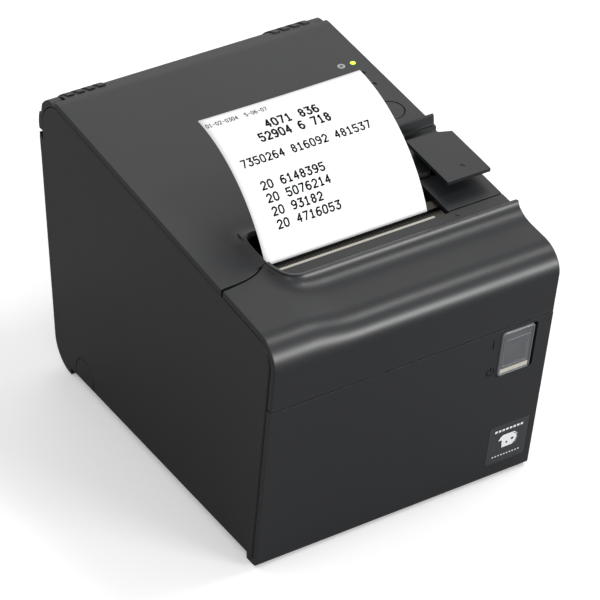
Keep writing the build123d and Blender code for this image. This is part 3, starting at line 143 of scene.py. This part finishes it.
def brushed_lines():
    """Metal with fine lines along X, from rolling or grinding."""
    tree, given, out = new_effect(
        "Brushed Lines",
        [("Colour", COLOUR, (0.6, 0.6, 0.6, 1)), ("Gloss", VALUE, 0.3), ("Line Height", VALUE, 0.00001)],
        [("Colour", COLOUR), ("Roughness", VALUE), ("Normal", NORMAL)])
    where = place(tree, "ShaderNodeTexCoord").outputs["Object"]
    stretched = place(tree, "ShaderNodeMapping",
                      {"Vector": where, "Scale": (60.0, 3000.0, 3000.0)}).outputs[0]
    lines = place(tree, "ShaderNodeTexNoise",
                  {"Vector": stretched, "Scale": 1.0, "Detail": 3.0}).outputs["Fac"]
    factor = place(tree, "ShaderNodeMapRange",
                   {"Value": lines, "To Min": 0.82, "To Max": 1.12}).outputs[0]
    colour = place(tree, "ShaderNodeVectorMath", {0: given["Colour"], "Scale": factor},
                   operation="SCALE").outputs[0]
    spread = place(tree, "ShaderNodeMath", {0: lines, 1: 0.2, 2: given["Gloss"]},
                   operation="MULTIPLY_ADD").outputs[0]
    bump = place(tree, "ShaderNodeBump", {"Distance": given["Line Height"], "Height": lines})
    tree.links.new(colour, out.inputs["Colour"])
    tree.links.new(spread, out.inputs["Roughness"])
    tree.links.new(bump.outputs[0], out.inputs["Normal"])
    return tree


grain = moulded_grain()
brushed = brushed_lines()


def finish_with(name, effect, values, **shader):
    """A material whose colour, gloss and normal come from an effect, with the shader's own values."""
    material = bpy.data.materials.new(name)
    material.use_nodes = True
    tree = material.node_tree
    principled = tree.nodes["Principled BSDF"]
    surface = place(tree, "ShaderNodeGroup", node_tree=effect)
    for key, value in values.items():
        surface.inputs[key].default_value = value
    tree.links.new(surface.outputs["Colour"], principled.inputs["Base Color"])
    tree.links.new(surface.outputs["Roughness"], principled.inputs["Roughness"])
    tree.links.new(surface.outputs["Normal"], principled.inputs["Normal"])
    for key, value in shader.items():
        principled.inputs[key.replace("_", " ")].default_value = value
    return material


def plastic(name, colour, gloss, cloud=0.12, spread=0.08, scale=2200.0, height=0.000012, edge=0.00025,
            **shader):
    return finish_with(name, grain, {"Colour": (*colour, 1), "Cloud": cloud, "Gloss": gloss,
                                     "Gloss Spread": spread, "Grain Scale": scale,
                                     "Grain Height": height, "Edge Radius": edge}, **shader)


def metal(name, colour, gloss, height=0.000008):
    return finish_with(name, brushed, {"Colour": (*colour, 1), "Gloss": gloss, "Line Height": height},
                       Metallic=1.0)


materials = {
    "case_plastic": plastic("charcoal case plastic", (0.0122, 0.0130, 0.0146), 0.38),
    "inner_plastic": plastic("black inner plastic", (0.0045, 0.0045, 0.005), 0.6, Specular_IOR_Level=0.3),
    "rocker_plastic": plastic("rocker plastic", (0.015, 0.015, 0.016), 0.4),
    "label": plastic("label film", (0.030, 0.033, 0.037), 0.34, height=0.000003, edge=0.0),
    "rubber": plastic("soft rubber", (0.016, 0.016, 0.017), 0.8, scale=1200.0, height=0.00003),
    "steel": metal("plated steel", (0.55, 0.56, 0.57), 0.3),
    "spring_steel": metal("spring wire", (0.45, 0.45, 0.46), 0.25),
    "blade_steel": metal("blackened blade steel", (0.085, 0.078, 0.068), 0.34),
    "aluminium": metal("satin aluminium", (0.7, 0.71, 0.72), 0.4),
    "ceramic": plastic("glazed ceramic", (0.72, 0.7, 0.64), 0.2, height=0.000002),
    "gear_plastic": plastic("black acetal", (0.02, 0.02, 0.021), 0.45),
    "motor_metal": metal("pressed motor can", (0.3, 0.31, 0.32), 0.35),
    "circuit_board": plastic("solder mask", (0.01, 0.09, 0.03), 0.3),
    "socket_plastic": plastic("socket plastic", (0.01, 0.01, 0.011), 0.4),
    "lamp_lit": plastic("lit lamp", (0.45, 0.75, 0.04), 0.3, Emission_Color=(0.45, 0.85, 0.03, 1),
                        Emission_Strength=1.6),
    "lamp_dark": plastic("dark lamp", (0.01, 0.01, 0.011), 0.25),
    "paper": plastic("thermal paper", (0.86, 0.86, 0.86), 0.62, cloud=0.03, scale=900.0, height=0.000004,
                     edge=0.0),
    "core_board": plastic("core board", (0.25, 0.16, 0.09), 0.8, scale=700.0, height=0.00004),
    "guard_clear": plastic("smoked clear guard", (0.17, 0.18, 0.19), 0.16, cloud=0.3, height=0.000002,
                           edge=0.0, Alpha=0.42),
    "print_ink": plastic("print ink", (0.004, 0.004, 0.005), 0.8, height=0.000002, edge=0.0,
                         Specular_IOR_Level=0.1),
    "mark_black": plastic("black mark", (0.001, 0.001, 0.001), 0.9, height=0.000002, edge=0.0,
                          Specular_IOR_Level=0.05),
    "mark_pale": plastic("pale mark", (0.35, 0.37, 0.37), 0.5, height=0.000002, edge=0.0),
    "mark_white": plastic("white mark", (0.75, 0.75, 0.76), 0.45, height=0.000002, edge=0.0),
    "guard_edge": plastic("guard edge", (0.13, 0.14, 0.148), 0.15, cloud=0.1, height=0.000002),
    "guard_cream": plastic("guard cream", (0.5, 0.475, 0.42), 0.3, cloud=0.1, height=0.000002),
}

for part in frame["record"]["subparts"]:
    shown = nodes[part["node"]]
    shown.data.materials.clear()
    shown.data.materials.append(materials[part["material_slot"]])

# ---------------------------------------------------------------- mesh helpers


def mesh_piece(name, points, faces, material, body, stands_for=(), smooth=True):
    """A mesh made from points in metres, riding on a body."""
    mesh = bpy.data.meshes.new(name)
    mesh.from_pydata([tuple(p) for p in points], [], faces)
    mesh.validate()
    mesh.update()
    piece = bpy.data.objects.new(name, mesh)
    bpy.context.scene.collection.objects.link(piece)
    mesh.materials.append(material)
    if smooth:
        mesh.polygons.foreach_set("use_smooth", [True] * len(mesh.polygons))
    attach(piece, body)
    if stands_for:
        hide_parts(*stands_for)
    return piece


def grid_faces(rows, columns):
    """Quads over a grid of points stored row by row."""
    return [(r * columns + c, r * columns + c + 1, (r + 1) * columns + c + 1, (r + 1) * columns + c)
            for r in range(rows - 1) for c in range(columns - 1)]


def thicken(piece, depth, outwards=-1.0):
    """Gives an open surface its wall, grown to the side that outwards says."""
    wall = piece.modifiers.new("wall", "SOLIDIFY")
    wall.thickness = depth * mm
    wall.offset = outwards
    wall.use_even_offset = True
    wall.use_quality_normals = True


def soften(piece, width, segments=2, angle=38.0):
    """Rounds the sharp edges a little, as a mould does."""
    edge = piece.modifiers.new("soft edges", "BEVEL")
    edge.width = width * mm
    edge.segments = segments
    edge.limit_method = "ANGLE"
    edge.angle_limit = math.radians(angle)
    edge.harden_normals = False
    edge.use_clamp_overlap = True


def smooth_step(value, start, end):
    share = min(1.0, max(0.0, (value - start) / (end - start)))
    return share * share * (3 - 2 * share)


# ---------------------------------------------------------------- front cover and paper exit lip

# The lip in plan: x, y and height above the slope, from the right side round to behind the paper
lip_points = [(69.6, -73.3, 3.2), (-33.0, -73.3, 3.2), (-37.2, -73.1, 3.2), (-40.4, -72.0, 3.15),
              (-42.9, -69.8, 3.1), (-44.6, -66.4, 2.9), (-45.5, -62.4, 2.6), (-45.9, -58.0, 2.3),
              (-46.0, -52.0, 2.1), (-45.9, -46.0, 2.0), (-45.4, -41.5, 1.9), (-43.9, -38.4, 1.6),
              (-41.4, -36.6, 1.2), (-38.0, -35.9, 0.7), (-30.0, -35.7, 0.0)]


def along(points, count):
    """Evenly spaced points on a smooth open curve through some points, from its start to its end."""
    padded = [points[0]] + points + [points[-1]]
    parts = 12
    fine = []
    for k in range(1, len(padded) - 2):
        a, b, c, d = (Vector(p) for p in padded[k - 1:k + 3])
        for step in range(parts):
            t = step / parts
            fine.append(0.5 * (2 * b + (c - a) * t + (2 * a - 5 * b + 4 * c - d) * t ** 2
                               + (3 * b - a - 3 * c + d) * t ** 3))
    fine.append(Vector(points[-1]))
    lengths = [0.0]
    for a, b in zip(fine, fine[1:]):
        lengths.append(lengths[-1] + (b - a).length)
    result, k = [], 0
    for step in range(count):
        wanted = lengths[-1] * step / (count - 1)
        while k < len(fine) - 2 and lengths[k + 1] < wanted:
            k += 1
        share = (wanted - lengths[k]) / max(1e-9, lengths[k + 1] - lengths[k])
        result.append(fine[k].lerp(fine[k + 1], min(1.0, share)))
    return result


lip_line = along(lip_points[1:], 90)
lip_reach = 7.5
steepest = 0.999


def dish(near):
    """The lip's hollow profile: 0 at its foot, and rising ever more steeply to its edge."""
    return 1.0 - math.sqrt(1.0 - min(steepest, near) ** 2)


def lip_rise(x, y, reach):
    """How far the hollow lip lifts the surface above its base, and how near the point is to its edge."""
    best = abs(y - lip_points[0][1]) if x > lip_points[1][0] else math.inf
    height = lip_points[0][2]
    for p in lip_line:
        distance = math.hypot(x - p.x, y - p.y)
        if distance < best:
            best, height = distance, p.z
    near = max(0.0, 1.0 - best / reach)
    return height * dish(near) / dish(1.0), near


def front_outline():
    """The front's side outline, y and z, from the seam up over the round to the slope."""
    round_radius, round_steps, low_steps, foot_z = 13.0, 26, 8, 92.1
    corner_z = (slope_base + front_base_y * slope_rise) / (1 + math.tan(lean) * slope_rise)
    corner = Vector((front_base_y - corner_z * math.tan(lean), corner_z))
    down = Vector((math.sin(lean), -math.cos(lean)))
    back = Vector((math.cos(tilt), math.sin(tilt)))
    turn = math.pi - down.angle(back)
    reach = round_radius * math.tan(turn / 2)
    start, end = corner + down * reach, corner + back * reach
    centre = start + Vector((math.cos(lean), math.sin(lean))) * round_radius
    from_angle = math.atan2(start.y - centre.y, start.x - centre.x) % (2 * math.pi)
    to_angle = math.atan2(end.y - centre.y, end.x - centre.x) % (2 * math.pi)
    arc = [centre + round_radius * Vector((math.cos(a), math.sin(a)))
           for a in [from_angle + (to_angle - from_angle) * k / round_steps
                     for k in range(round_steps + 1)]]
    low = [Vector((front_base_y - z * math.tan(lean), z))
           for z in [foot_z + (start.y - foot_z) * k / low_steps for k in range(low_steps)]]
    return low + arc


front_round_line = front_outline()


def make_front_cover():
    """Cover over the cutter: rounded front, a shallow valley, and the lip that turns back by the paper."""
    side, last_x, side_wall, ease, near_ease = 69.6, 69.0, 3.0, 0.45, 0.13
    valley_depth, valley_reach, wall, rows_on_top = 2.2, 3.5, 1.4, 46
    valley_from, valley_to, crowding = -52.0, -28.0, 1.7
    lip_foremost = -96.0
    edge_seam = along([(-69.6, -64.1, 0), (-63.0, -63.4, 0), (-57.5, -62.6, 0), (-52.0, -60.9, 0),
                       (-48.2, -58.9, 0), (-46.3, -57.9, 0)], 34)
    edge_lip = [p for p in lip_line if p.x > -45.9 and p.y < -58.4][::-1]
    right = [Vector((-32.0 + 2.2 * k, lip_points[0][1], 0)) for k in range(47)]
    edge = edge_seam + edge_lip + [p for p in right if p.x > edge_lip[-1].x + 1.0]
    edge = [p for p in edge if p.x < last_x] + [Vector((last_x, lip_points[0][1], 0))]
    edge.sort(key=lambda p: p.x)
    # Each column's x, the y of its rear end, and how far it is sunk to round off the cover's side
    rounding = [(0.0, side_wall), (0.0, ease), (near_ease, near_ease), (ease, 0.0)]
    columns = [(-side + inward, edge[0].y, sunk) for inward, sunk in rounding]
    columns += [(p.x, p.y, 0.0) for p in edge if -side + 0.6 < p.x]
    columns += [(side - inward, lip_points[0][1], sunk) for inward, sunk in reversed(rounding)]
    round_end = front_round_line[-1]
    points, rows = [], len(front_round_line) + rows_on_top
    for x, edge_y, sunk in columns:
        line = [(p, None) for p in front_round_line]
        run = edge_y - round_end.x
        for k in range(1, rows_on_top + 1):
            y = round_end.x + run * (1 - (1 - k / rows_on_top) ** crowding)
            line.append((Vector((y, slope_height(y))), y))
        valley = smooth_step(x, valley_from, valley_to)
        for k, (p, top_y) in enumerate(line):
            before, after = line[max(0, k - 1)][0], line[min(len(line) - 1, k + 1)][0]
            run_way = (after - before).normalized()
            outward = Vector((-run_way.y, run_way.x))
            drop = valley_depth * valley * smooth_step(k / (len(front_round_line) - 1), 0.25, 1.0)
            base = p - outward * (drop + sunk)
            rise = 0.0
            if top_y is not None or p.x > lip_foremost:
                share, near = lip_rise(x, p.x, lip_reach + valley_reach * valley)
                rise = share * (1 + drop / lip_points[0][2] * near)
            points.append(Vector((x, base.x, base.y + rise)) * mm)
    faces = [tuple(reversed(face)) for face in grid_faces(len(columns), rows)]
    cover = mesh_piece("front_cover_skin", points, faces, materials["case_plastic"], "front_cover",
                       ["front_cover"])
    thicken(cover, wall)
    soften(cover, 0.22)


def make_exit_collar():
    """The same lip carried on round the left of the paper exit, on the roll cover."""
    start = next(k for k, p in enumerate(lip_line) if p.y > -57.9 and p.x < -44)
    line = lip_line[start:]
    steps, fading, lift, foot_depth = 14, 22, 0.012, 2.2
    points = []
    for k, p in enumerate(line):
        before, after = line[max(0, k - 1)], line[min(len(line) - 1, k + 1)]
        way = Vector((after.x - before.x, after.y - before.y)).normalized()
        outward = Vector((-way.y, way.x)) if way.y > 0 else Vector((way.y, -way.x))
        end = 1.0 - smooth_step(k, len(line) - fading, len(line) - 1)
        points.append(Vector((p.x + 0.6, p.y, slope_height(p.y) - foot_depth)) * mm)
        points.append(Vector((p.x + 0.5, p.y, slope_height(p.y) + p.z * end - 0.1)) * mm)
        for step in range(steps + 1):
            distance = lip_reach * (step / steps) ** 1.4
            x, y = p.x + outward.x * distance, p.y + outward.y * distance
            rise = p.z * end * dish(1.0 - distance / lip_reach) + lift
            if step == steps:
                rise = -0.015
            points.append(Vector((x, y, slope_height(y) + rise)) * mm)
    mesh_piece("exit_collar", points, grid_faces(len(line), steps + 3), materials["case_plastic"],
               "roll_cover")


make_front_cover()
make_exit_collar()

# ---------------------------------------------------------------- receipt and its print

sheet_centre = (7.239, 107.266)
sheet_radius = 66.1
sheet_top = math.radians(97.51)
sheet_left, sheet_width, sheet_length = -44.3, 79.5, 72.4
curl_height, curl_length = 0.35, 40.0


def on_sheet(across, down, lift=0.0):
    """A point on the receipt, in millimetres from its left edge and free end, and lifted off its face."""
    angle = sheet_top + down / sheet_radius
    curl = curl_height * math.sin(across / sheet_width * math.pi) * max(0.0, 1 - down / curl_length)
    radius = sheet_radius + lift - curl
    return Vector((sheet_left + across, sheet_centre[0] + radius * math.cos(angle),
                   sheet_centre[1] + radius * math.sin(angle))) * mm


# Each digit as strokes on a cell one wide and two high
digit_strokes = {
    "0": [[(0.3, 0), (0, 0.4), (0, 1.6), (0.3, 2), (0.7, 2), (1, 1.6), (1, 0.4), (0.7, 0), (0.3, 0)]],
    "1": [[(0.15, 1.6), (0.5, 2), (0.5, 0)], [(0.15, 0), (0.85, 0)]],
    "2": [[(0, 1.6), (0.3, 2), (0.7, 2), (1, 1.6), (1, 1.2), (0, 0), (1, 0)]],
    "3": [[(0, 2), (1, 2), (0.45, 1.2), (0.75, 1.2), (1, 0.9), (1, 0.35), (0.7, 0), (0.3, 0), (0, 0.35)]],
    "4": [[(0.75, 0), (0.75, 2), (0, 0.6), (1, 0.6)]],
    "5": [[(1, 2), (0.05, 2), (0, 1.15), (0.7, 1.2), (1, 0.9), (1, 0.35), (0.7, 0), (0.3, 0), (0, 0.3)]],
    "6": [[(0.9, 1.9), (0.4, 2), (0, 1.4), (0, 0.4), (0.3, 0), (0.7, 0), (1, 0.4), (1, 0.8), (0.7, 1.15),
           (0.3, 1.15), (0, 0.8)]],
    "7": [[(0, 2), (1, 2), (0.35, 0)]],
    "8": [[(0.3, 1.1), (0.05, 1.45), (0.3, 2), (0.7, 2), (0.95, 1.45), (0.7, 1.1), (0.3, 1.1), (0, 0.6),
           (0.3, 0), (0.7, 0), (1, 0.6), (0.7, 1.1)]],
    "9": [[(0.1, 0.1), (0.6, 0), (1, 0.6), (1, 1.6), (0.7, 2), (0.3, 2), (0, 1.6), (0, 1.25), (0.3, 0.9),
           (0.7, 0.9), (1, 1.25)]],
    "-": [[(0.1, 1), (0.9, 1)]],
}

# The printed lines: left start, baseline below the free end, cell pitch, height, stroke and digits
print_lines = [
    (1.2, 6.0, 1.56, 2.1, 0.34, "01-02-0304  5-06-07"),
    (25.2, 15.2, 3.3, 3.9, 0.86, "4071 836"),
    (19.2, 21.1, 3.18, 3.9, 0.86, "52904 6 718"),
    (5.5, 30.3, 3.02, 3.4, 0.7, "7350264 816092 481537"),
    (9.4, 41.8, 3.12, 3.4, 0.74, "20 6148395"),
    (9.7, 47.6, 3.12, 3.4, 0.74, "20 5076214"),
    (9.9, 53.4, 3.12, 3.4, 0.74, "20 93182"),
    (10.3, 59.2, 3.12, 3.4, 0.74, "20 4716053"),
]


def make_receipt():
    rows, columns, paper_thickness = 60, 24, 0.09
    points = [on_sheet(sheet_width * c / columns, sheet_length * r / rows) for r in range(rows + 1)
              for c in range(columns + 1)]
    sheet = mesh_piece("receipt_sheet", points, grid_faces(rows + 1, columns + 1), materials["paper"],
                       "roll_cover", ["receipt"])
    thicken(sheet, paper_thickness, 0.0)

    points, faces = [], []
    for left, baseline, pitch, height, width, text in print_lines:
        wide, tall = pitch * 0.62, height / 2
        for place_in_line, mark in enumerate(text):
            for stroke in digit_strokes.get(mark, []):
                corners = [Vector((left + place_in_line * pitch + x * wide, baseline - y * tall))
                           for x, y in stroke]
                for a, b in zip(corners, corners[1:]):
                    way = (b - a).normalized() * width / 2
                    across = Vector((-way.y, way.x))
                    first = len(points)
                    ends = (a - way * 0.7 + across, b + way * 0.7 + across, b + way * 0.7 - across,
                            a - way * 0.7 - across)
                    points += [on_sheet(p.x, p.y, paper_thickness) for p in ends]
                    faces.append((first, first + 1, first + 2, first + 3))
    mesh_piece("receipt_print", points, faces, materials["print_ink"], "roll_cover", smooth=False)


make_receipt()

# ---------------------------------------------------------------- marks and label on the front and top


def flat_mark(name, outline_sets, spot, material, body):
    """Thin printed shapes: each outline is a closed list of points placed by spot(x, y)."""
    points, faces = [], []
    for outline in outline_sets:
        first = len(points)
        points += [spot(*p) for p in outline]
        faces.append(tuple(range(first, first + len(outline))))
    return mesh_piece(name, points, faces, material, body, smooth=False)


def bar(x0, y0, x1, y1, width):
    way = Vector((x1 - x0, y1 - y0)).normalized() * width / 2
    return [(x0 + way.y, y0 - way.x), (x1 + way.y, y1 - way.x), (x1 - way.y, y1 + way.x),
            (x0 - way.y, y0 + way.x)]


def ring(x, y, radius, width, start=0.0, end=360.0, steps=28):
    """A ring, or part of one, as short quads."""
    result = []
    for k in range(steps):
        a = math.radians(start + (end - start) * k / steps)
        b = math.radians(start + (end - start) * (k + 1) / steps)
        inner, outer = radius - width / 2, radius + width / 2
        result.append([(x + outer * math.cos(a), y + outer * math.sin(a)),
                       (x + outer * math.cos(b), y + outer * math.sin(b)),
                       (x + inner * math.cos(b), y + inner * math.sin(b)),
                       (x + inner * math.cos(a), y + inner * math.sin(a))])
    return result


def disc(x, y, radius, steps=28):
    angles = [2 * math.pi * k / steps for k in range(steps)]
    return [[(x + radius * math.cos(a), y + radius * math.sin(a)) for a in angles]]


def on_panel(x, up):
    return on_front(x, up, 0.03)


def on_top(x, y):
    return on_slope(x, y / math.cos(tilt), 0.03)


def on_label(x, up):
    return on_front(x, up, 0.29)


flat_mark("switch_marks", [bar(40.0, 83.8, 40.0, 88.4, 0.5), bar(40.5, 70.0, 40.5, 72.6, 0.45)]
          + ring(40.5, 69.7, 1.9, 0.42, 120, 420), on_panel, materials["mark_black"], "case")
flat_mark("top_marks", disc(56.2, 48.8, 1.8), on_top, materials["mark_pale"], "roll_cover")
flat_mark("top_mark_lines", [bar(55.2, 48.8, 57.2, 48.8, 0.4), bar(56.2, 47.8, 56.2, 49.8, 0.4)],
          lambda x, y: on_slope(x, y / math.cos(tilt), 0.05), materials["mark_black"], "roll_cover")
# A plain pictogram of a paper roll with its loose end, and short bars where wording would be
flat_mark("label_picture",
          [[(53.2, 18.6), (58.6, 18.6), (60.4, 19.8), (61.2, 22.2), (60.8, 24.6), (59.2, 26.4),
            (53.4, 26.4), (52.0, 25.4), (51.0, 23.4), (52.9, 23.2)]]
          + [bar(48.6 + 1.9 * k, 29.6, 49.9 + 1.9 * k, 29.6, 1.3) for k in range(8)]
          + [bar(48.8 + 1.5 * k, 14.0, 49.6 + 1.5 * k, 14.0, 0.7) for k in range(10)],
          on_label, materials["mark_white"], "case")
flat_mark("label_picture_hole", disc(58.4, 22.4, 0.75) + disc(55.6, 21.2, 0.6)
          + ring(57.4, 22.5, 3.5, 0.35, -60, 70), lambda x, up: on_front(x, up, 0.31), materials["label"],
          "case")

# ---------------------------------------------------------------- power switch


def frame_ring(name, x, up, wide, tall, radius, wall, out_low, out_high, material, body, stands_for=()):
    """A rounded rectangular tube standing on the leaning front, with softened rims."""
    def outline(inset):
        corner = max(0.2, radius - inset)
        result = []
        for quarter, (sx, sy) in enumerate([(1, 1), (-1, 1), (-1, -1), (1, -1)]):
            cx, cy = x + sx * (wide / 2 - inset - corner), up + sy * (tall / 2 - inset - corner)
            for k in range(6):
                angle = math.radians(90 * quarter + 18 * k)
                result.append((cx + corner * math.cos(angle), cy + corner * math.sin(angle)))
        return result
    loops = [(outline(0), out_low), (outline(0), out_high - 0.5), (outline(0.15), out_high - 0.15),
             (outline(0.5), out_high), (outline(wall - 0.2), out_high), (outline(wall), out_high - 0.25),
             (outline(wall), out_low)]
    points, faces = [], []
    for line, out in loops:
        points += [on_front(px, pup, out) for px, pup in line]
    count = len(loops[0][0])
    for loop in range(len(loops) - 1):
        for k in range(count):
            a, b = loop * count + k, loop * count + (k + 1) % count
            faces.append((a, b, b + count, a + count))
    return mesh_piece(name, points, faces, material, body, stands_for)


def front_block(name, x0, x1, up0, up1, out0, out1, material, body, soft=0.2):
    """A small block lying on the leaning front."""
    points = [on_front(x, up, out) for out in (out0, out1) for up in (up0, up1) for x in (x0, x1)]
    faces = [(0, 1, 3, 2), (4, 6, 7, 5), (0, 4, 5, 1), (2, 3, 7, 6), (0, 2, 6, 4), (1, 5, 7, 3)]
    block = mesh_piece(name, points, faces, material, body, smooth=False)
    soften(block, soft, 3)
    return block


guard_x, guard_up, guard_wide, guard_tall = 52.4, 78.3, 16.6, 25.0
inside = guard_wide / 2 - 0.9
frame_ring("switch_guard_frame", guard_x, guard_up, guard_wide, guard_tall, 1.6, 0.8, -2.7, 0.7,
           materials["guard_edge"], "case", ["switch_guard"])
front_block("switch_guard_window", guard_x - inside, guard_x + inside, guard_up - 11.5, guard_up + 11.5,
            0.1, 0.45, materials["guard_clear"], "case")
front_block("switch_guard_sill", guard_x - inside + 0.2, guard_x + inside - 0.2, guard_up - 11.3,
            guard_up - 8.9, -2.0, 0.5, materials["guard_cream"], "case")
for ledge, low in enumerate((-7.7, 7.3)):
    front_block(f"switch_guard_ledge_{ledge}", guard_x - 6.4, guard_x + 6.4, guard_up + low,
                guard_up + low + 0.7, -0.9, 0.55, materials["guard_edge"], "case", 0.12)
for post, side in enumerate((-6.4, 5.8)):
    front_block(f"switch_guard_post_{post}", guard_x + side, guard_x + side + 0.6, guard_up - 7.0,
                guard_up + 7.3, -0.9, 0.1, materials["guard_edge"], "case", 0.12)


def slope_block(name, x0, x1, y0, y1, above0, above1, material, body, soft=0.1):
    """A small block lying along the sloping top."""
    points = [on_slope(x, y / math.cos(tilt), above) for above in (above0, above1) for y in (y0, y1)
              for x in (x0, x1)]
    faces = [(0, 2, 3, 1), (4, 5, 7, 6), (0, 1, 5, 4), (2, 6, 7, 3), (0, 4, 6, 2), (1, 3, 7, 5)]
    block = mesh_piece(name, points, faces, material, body, smooth=False)
    soften(block, soft, 2)
    return block


# Pale strip along the foot of the tear blade
slope_block("tear_blade_strip", -43.4, 36.0, -60.55, -59.15, -2.83, -2.5, materials["guard_cream"], "case")

# ---------------------------------------------------------------- button spring


def make_button_spring():
    """Coil under the feed button."""
    low, high = (Vector(corner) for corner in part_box("button_spring"))
    up = Vector((0, -math.sin(tilt), math.cos(tilt)))
    side, ahead = Vector((1, 0, 0)), Vector((0, math.cos(tilt), math.sin(tilt)))
    coil_radius, wire_radius, turns, length, travel = 3.2 * mm, 0.24 * mm, 4, 3.2 * mm, 0.8 * mm
    base = (low + high) / 2 - up * length / 2
    steps, round_steps = turns * 24, 8
    points = []
    for k in range(steps + 1):
        angle = 2 * math.pi * turns * k / steps
        outward = side * math.cos(angle) + ahead * math.sin(angle)
        middle = base + outward * coil_radius + up * length * k / steps
        for turn in range(round_steps):
            way = 2 * math.pi * turn / round_steps
            points.append(middle + (outward * math.cos(way) + up * math.sin(way)) * wire_radius)
    faces = [(k * round_steps + t, k * round_steps + (t + 1) % round_steps,
              (k + 1) * round_steps + (t + 1) % round_steps, (k + 1) * round_steps + t)
             for k in range(steps) for t in range(round_steps)]
    faces += [tuple(range(round_steps))[::-1], tuple(steps * round_steps + t for t in range(round_steps))]
    coil = mesh_piece("button_coil", points, faces, materials["spring_steel"], "roll_cover",
                      ["button_spring"])
    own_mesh(coil)


make_button_spring()

# ---------------------------------------------------------------- stage

FIRST_COLOUR, SECOND_COLOUR = 6, 7


def make_camera():
    """A long lens from the front left, looking down on the printer, with a slight roll."""
    data = bpy.data.cameras.new("product camera")
    camera = bpy.data.objects.new("product camera", data)
    bpy.context.scene.collection.objects.link(camera)
    data.lens = 190.3
    data.sensor_width = 36.0
    data.clip_start = 0.05
    data.clip_end = 30.0
    camera.location = (-0.582507, -1.015084, 0.842368)
    azimuth, height, roll = math.radians(-30.0), math.radians(33.55), math.radians(-1.48)
    look_back = Vector((math.sin(azimuth) * math.cos(height), -math.cos(azimuth) * math.cos(height),
                        math.sin(height)))
    facing = (-look_back).to_track_quat("-Z", "Y").to_matrix().to_4x4()
    camera.rotation_euler = (facing @ Matrix.Rotation(roll, 4, "Z")).to_euler()
    bpy.context.scene.camera = camera


def make_air():
    """Pale all round to look at, and dimmer to what the case reflects, as with black cards round it."""
    world = bpy.data.worlds.new("studio air")
    world.use_nodes = True
    tree = world.node_tree
    seen = place(tree, "ShaderNodeLightPath").outputs["Is Camera Ray"]
    strength = place(tree, "ShaderNodeMapRange",
                     {"Value": seen, "To Min": 0.66, "To Max": 0.97}).outputs[0]
    background = tree.nodes["Background"]
    tree.links.new(strength, background.inputs["Strength"])
    background.inputs["Color"].default_value = (1.0, 1.0, 1.0, 1)
    bpy.context.scene.world = world
    bpy.context.scene.view_settings.view_transform = "Standard"


def make_floor():
    """A wide pale floor, greyer to reflections than to the camera, with a little glow of its own."""
    bpy.ops.mesh.primitive_plane_add(size=12.0, location=(0, 0, 0))
    floor = bpy.context.object
    floor.name = "studio_floor"
    look = plastic("studio floor", (0.9, 0.9, 0.9), 0.9, cloud=0.0, spread=0.0, scale=50.0, height=0.0,
                   edge=0.0)
    tree = look.node_tree
    seen = place(tree, "ShaderNodeLightPath").outputs["Is Camera Ray"]
    shader = tree.nodes["Principled BSDF"]
    shade = place(tree, "ShaderNodeMix",
                  {"Factor": seen, FIRST_COLOUR: (0.29, 0.29, 0.29, 1),
                   SECOND_COLOUR: (0.93, 0.93, 0.93, 1)}, data_type="RGBA").outputs[2]
    tree.links.new(shade, shader.inputs["Base Color"])
    glow = place(tree, "ShaderNodeMapRange", {"Value": seen, "To Min": 0.0, "To Max": 0.22}).outputs[0]
    tree.links.new(glow, shader.inputs["Emission Strength"])
    shader.inputs["Emission Color"].default_value = (1.0, 1.0, 1.0, 1)
    floor.data.materials.append(look)


def softbox(name, spot, target, size, power):
    """A rectangular light at a spot, turned towards a target, in metres and watts."""
    data = bpy.data.lights.new(name, "AREA")
    data.shape = "RECTANGLE"
    data.size, data.size_y = size
    data.energy = power
    light = bpy.data.objects.new(name, data)
    light.location = spot
    light.rotation_euler = (Vector(target) - Vector(spot)).to_track_quat("-Z", "Y").to_euler()
    bpy.context.scene.collection.objects.link(light)


make_camera()
make_air()
make_floor()
softbox("low front softbox", (0.66, -1.42, 0.42), (0, -0.09, 0.12), (0.6, 0.42), 16.5)
softbox("overhead softbox", (0.64, -0.36, 1.45), (0, -0.09, 0.13), (0.34, 0.22), 5.0)
softbox("key softbox", (-0.95, -0.95, 1.5), (0, -0.02, 0.12), (0.8, 0.8), 4.8)
softbox("rear softbox", (0.62, 0.95, 1.0), (0, 0.02, 0.14), (0.9, 0.9), 1.7)
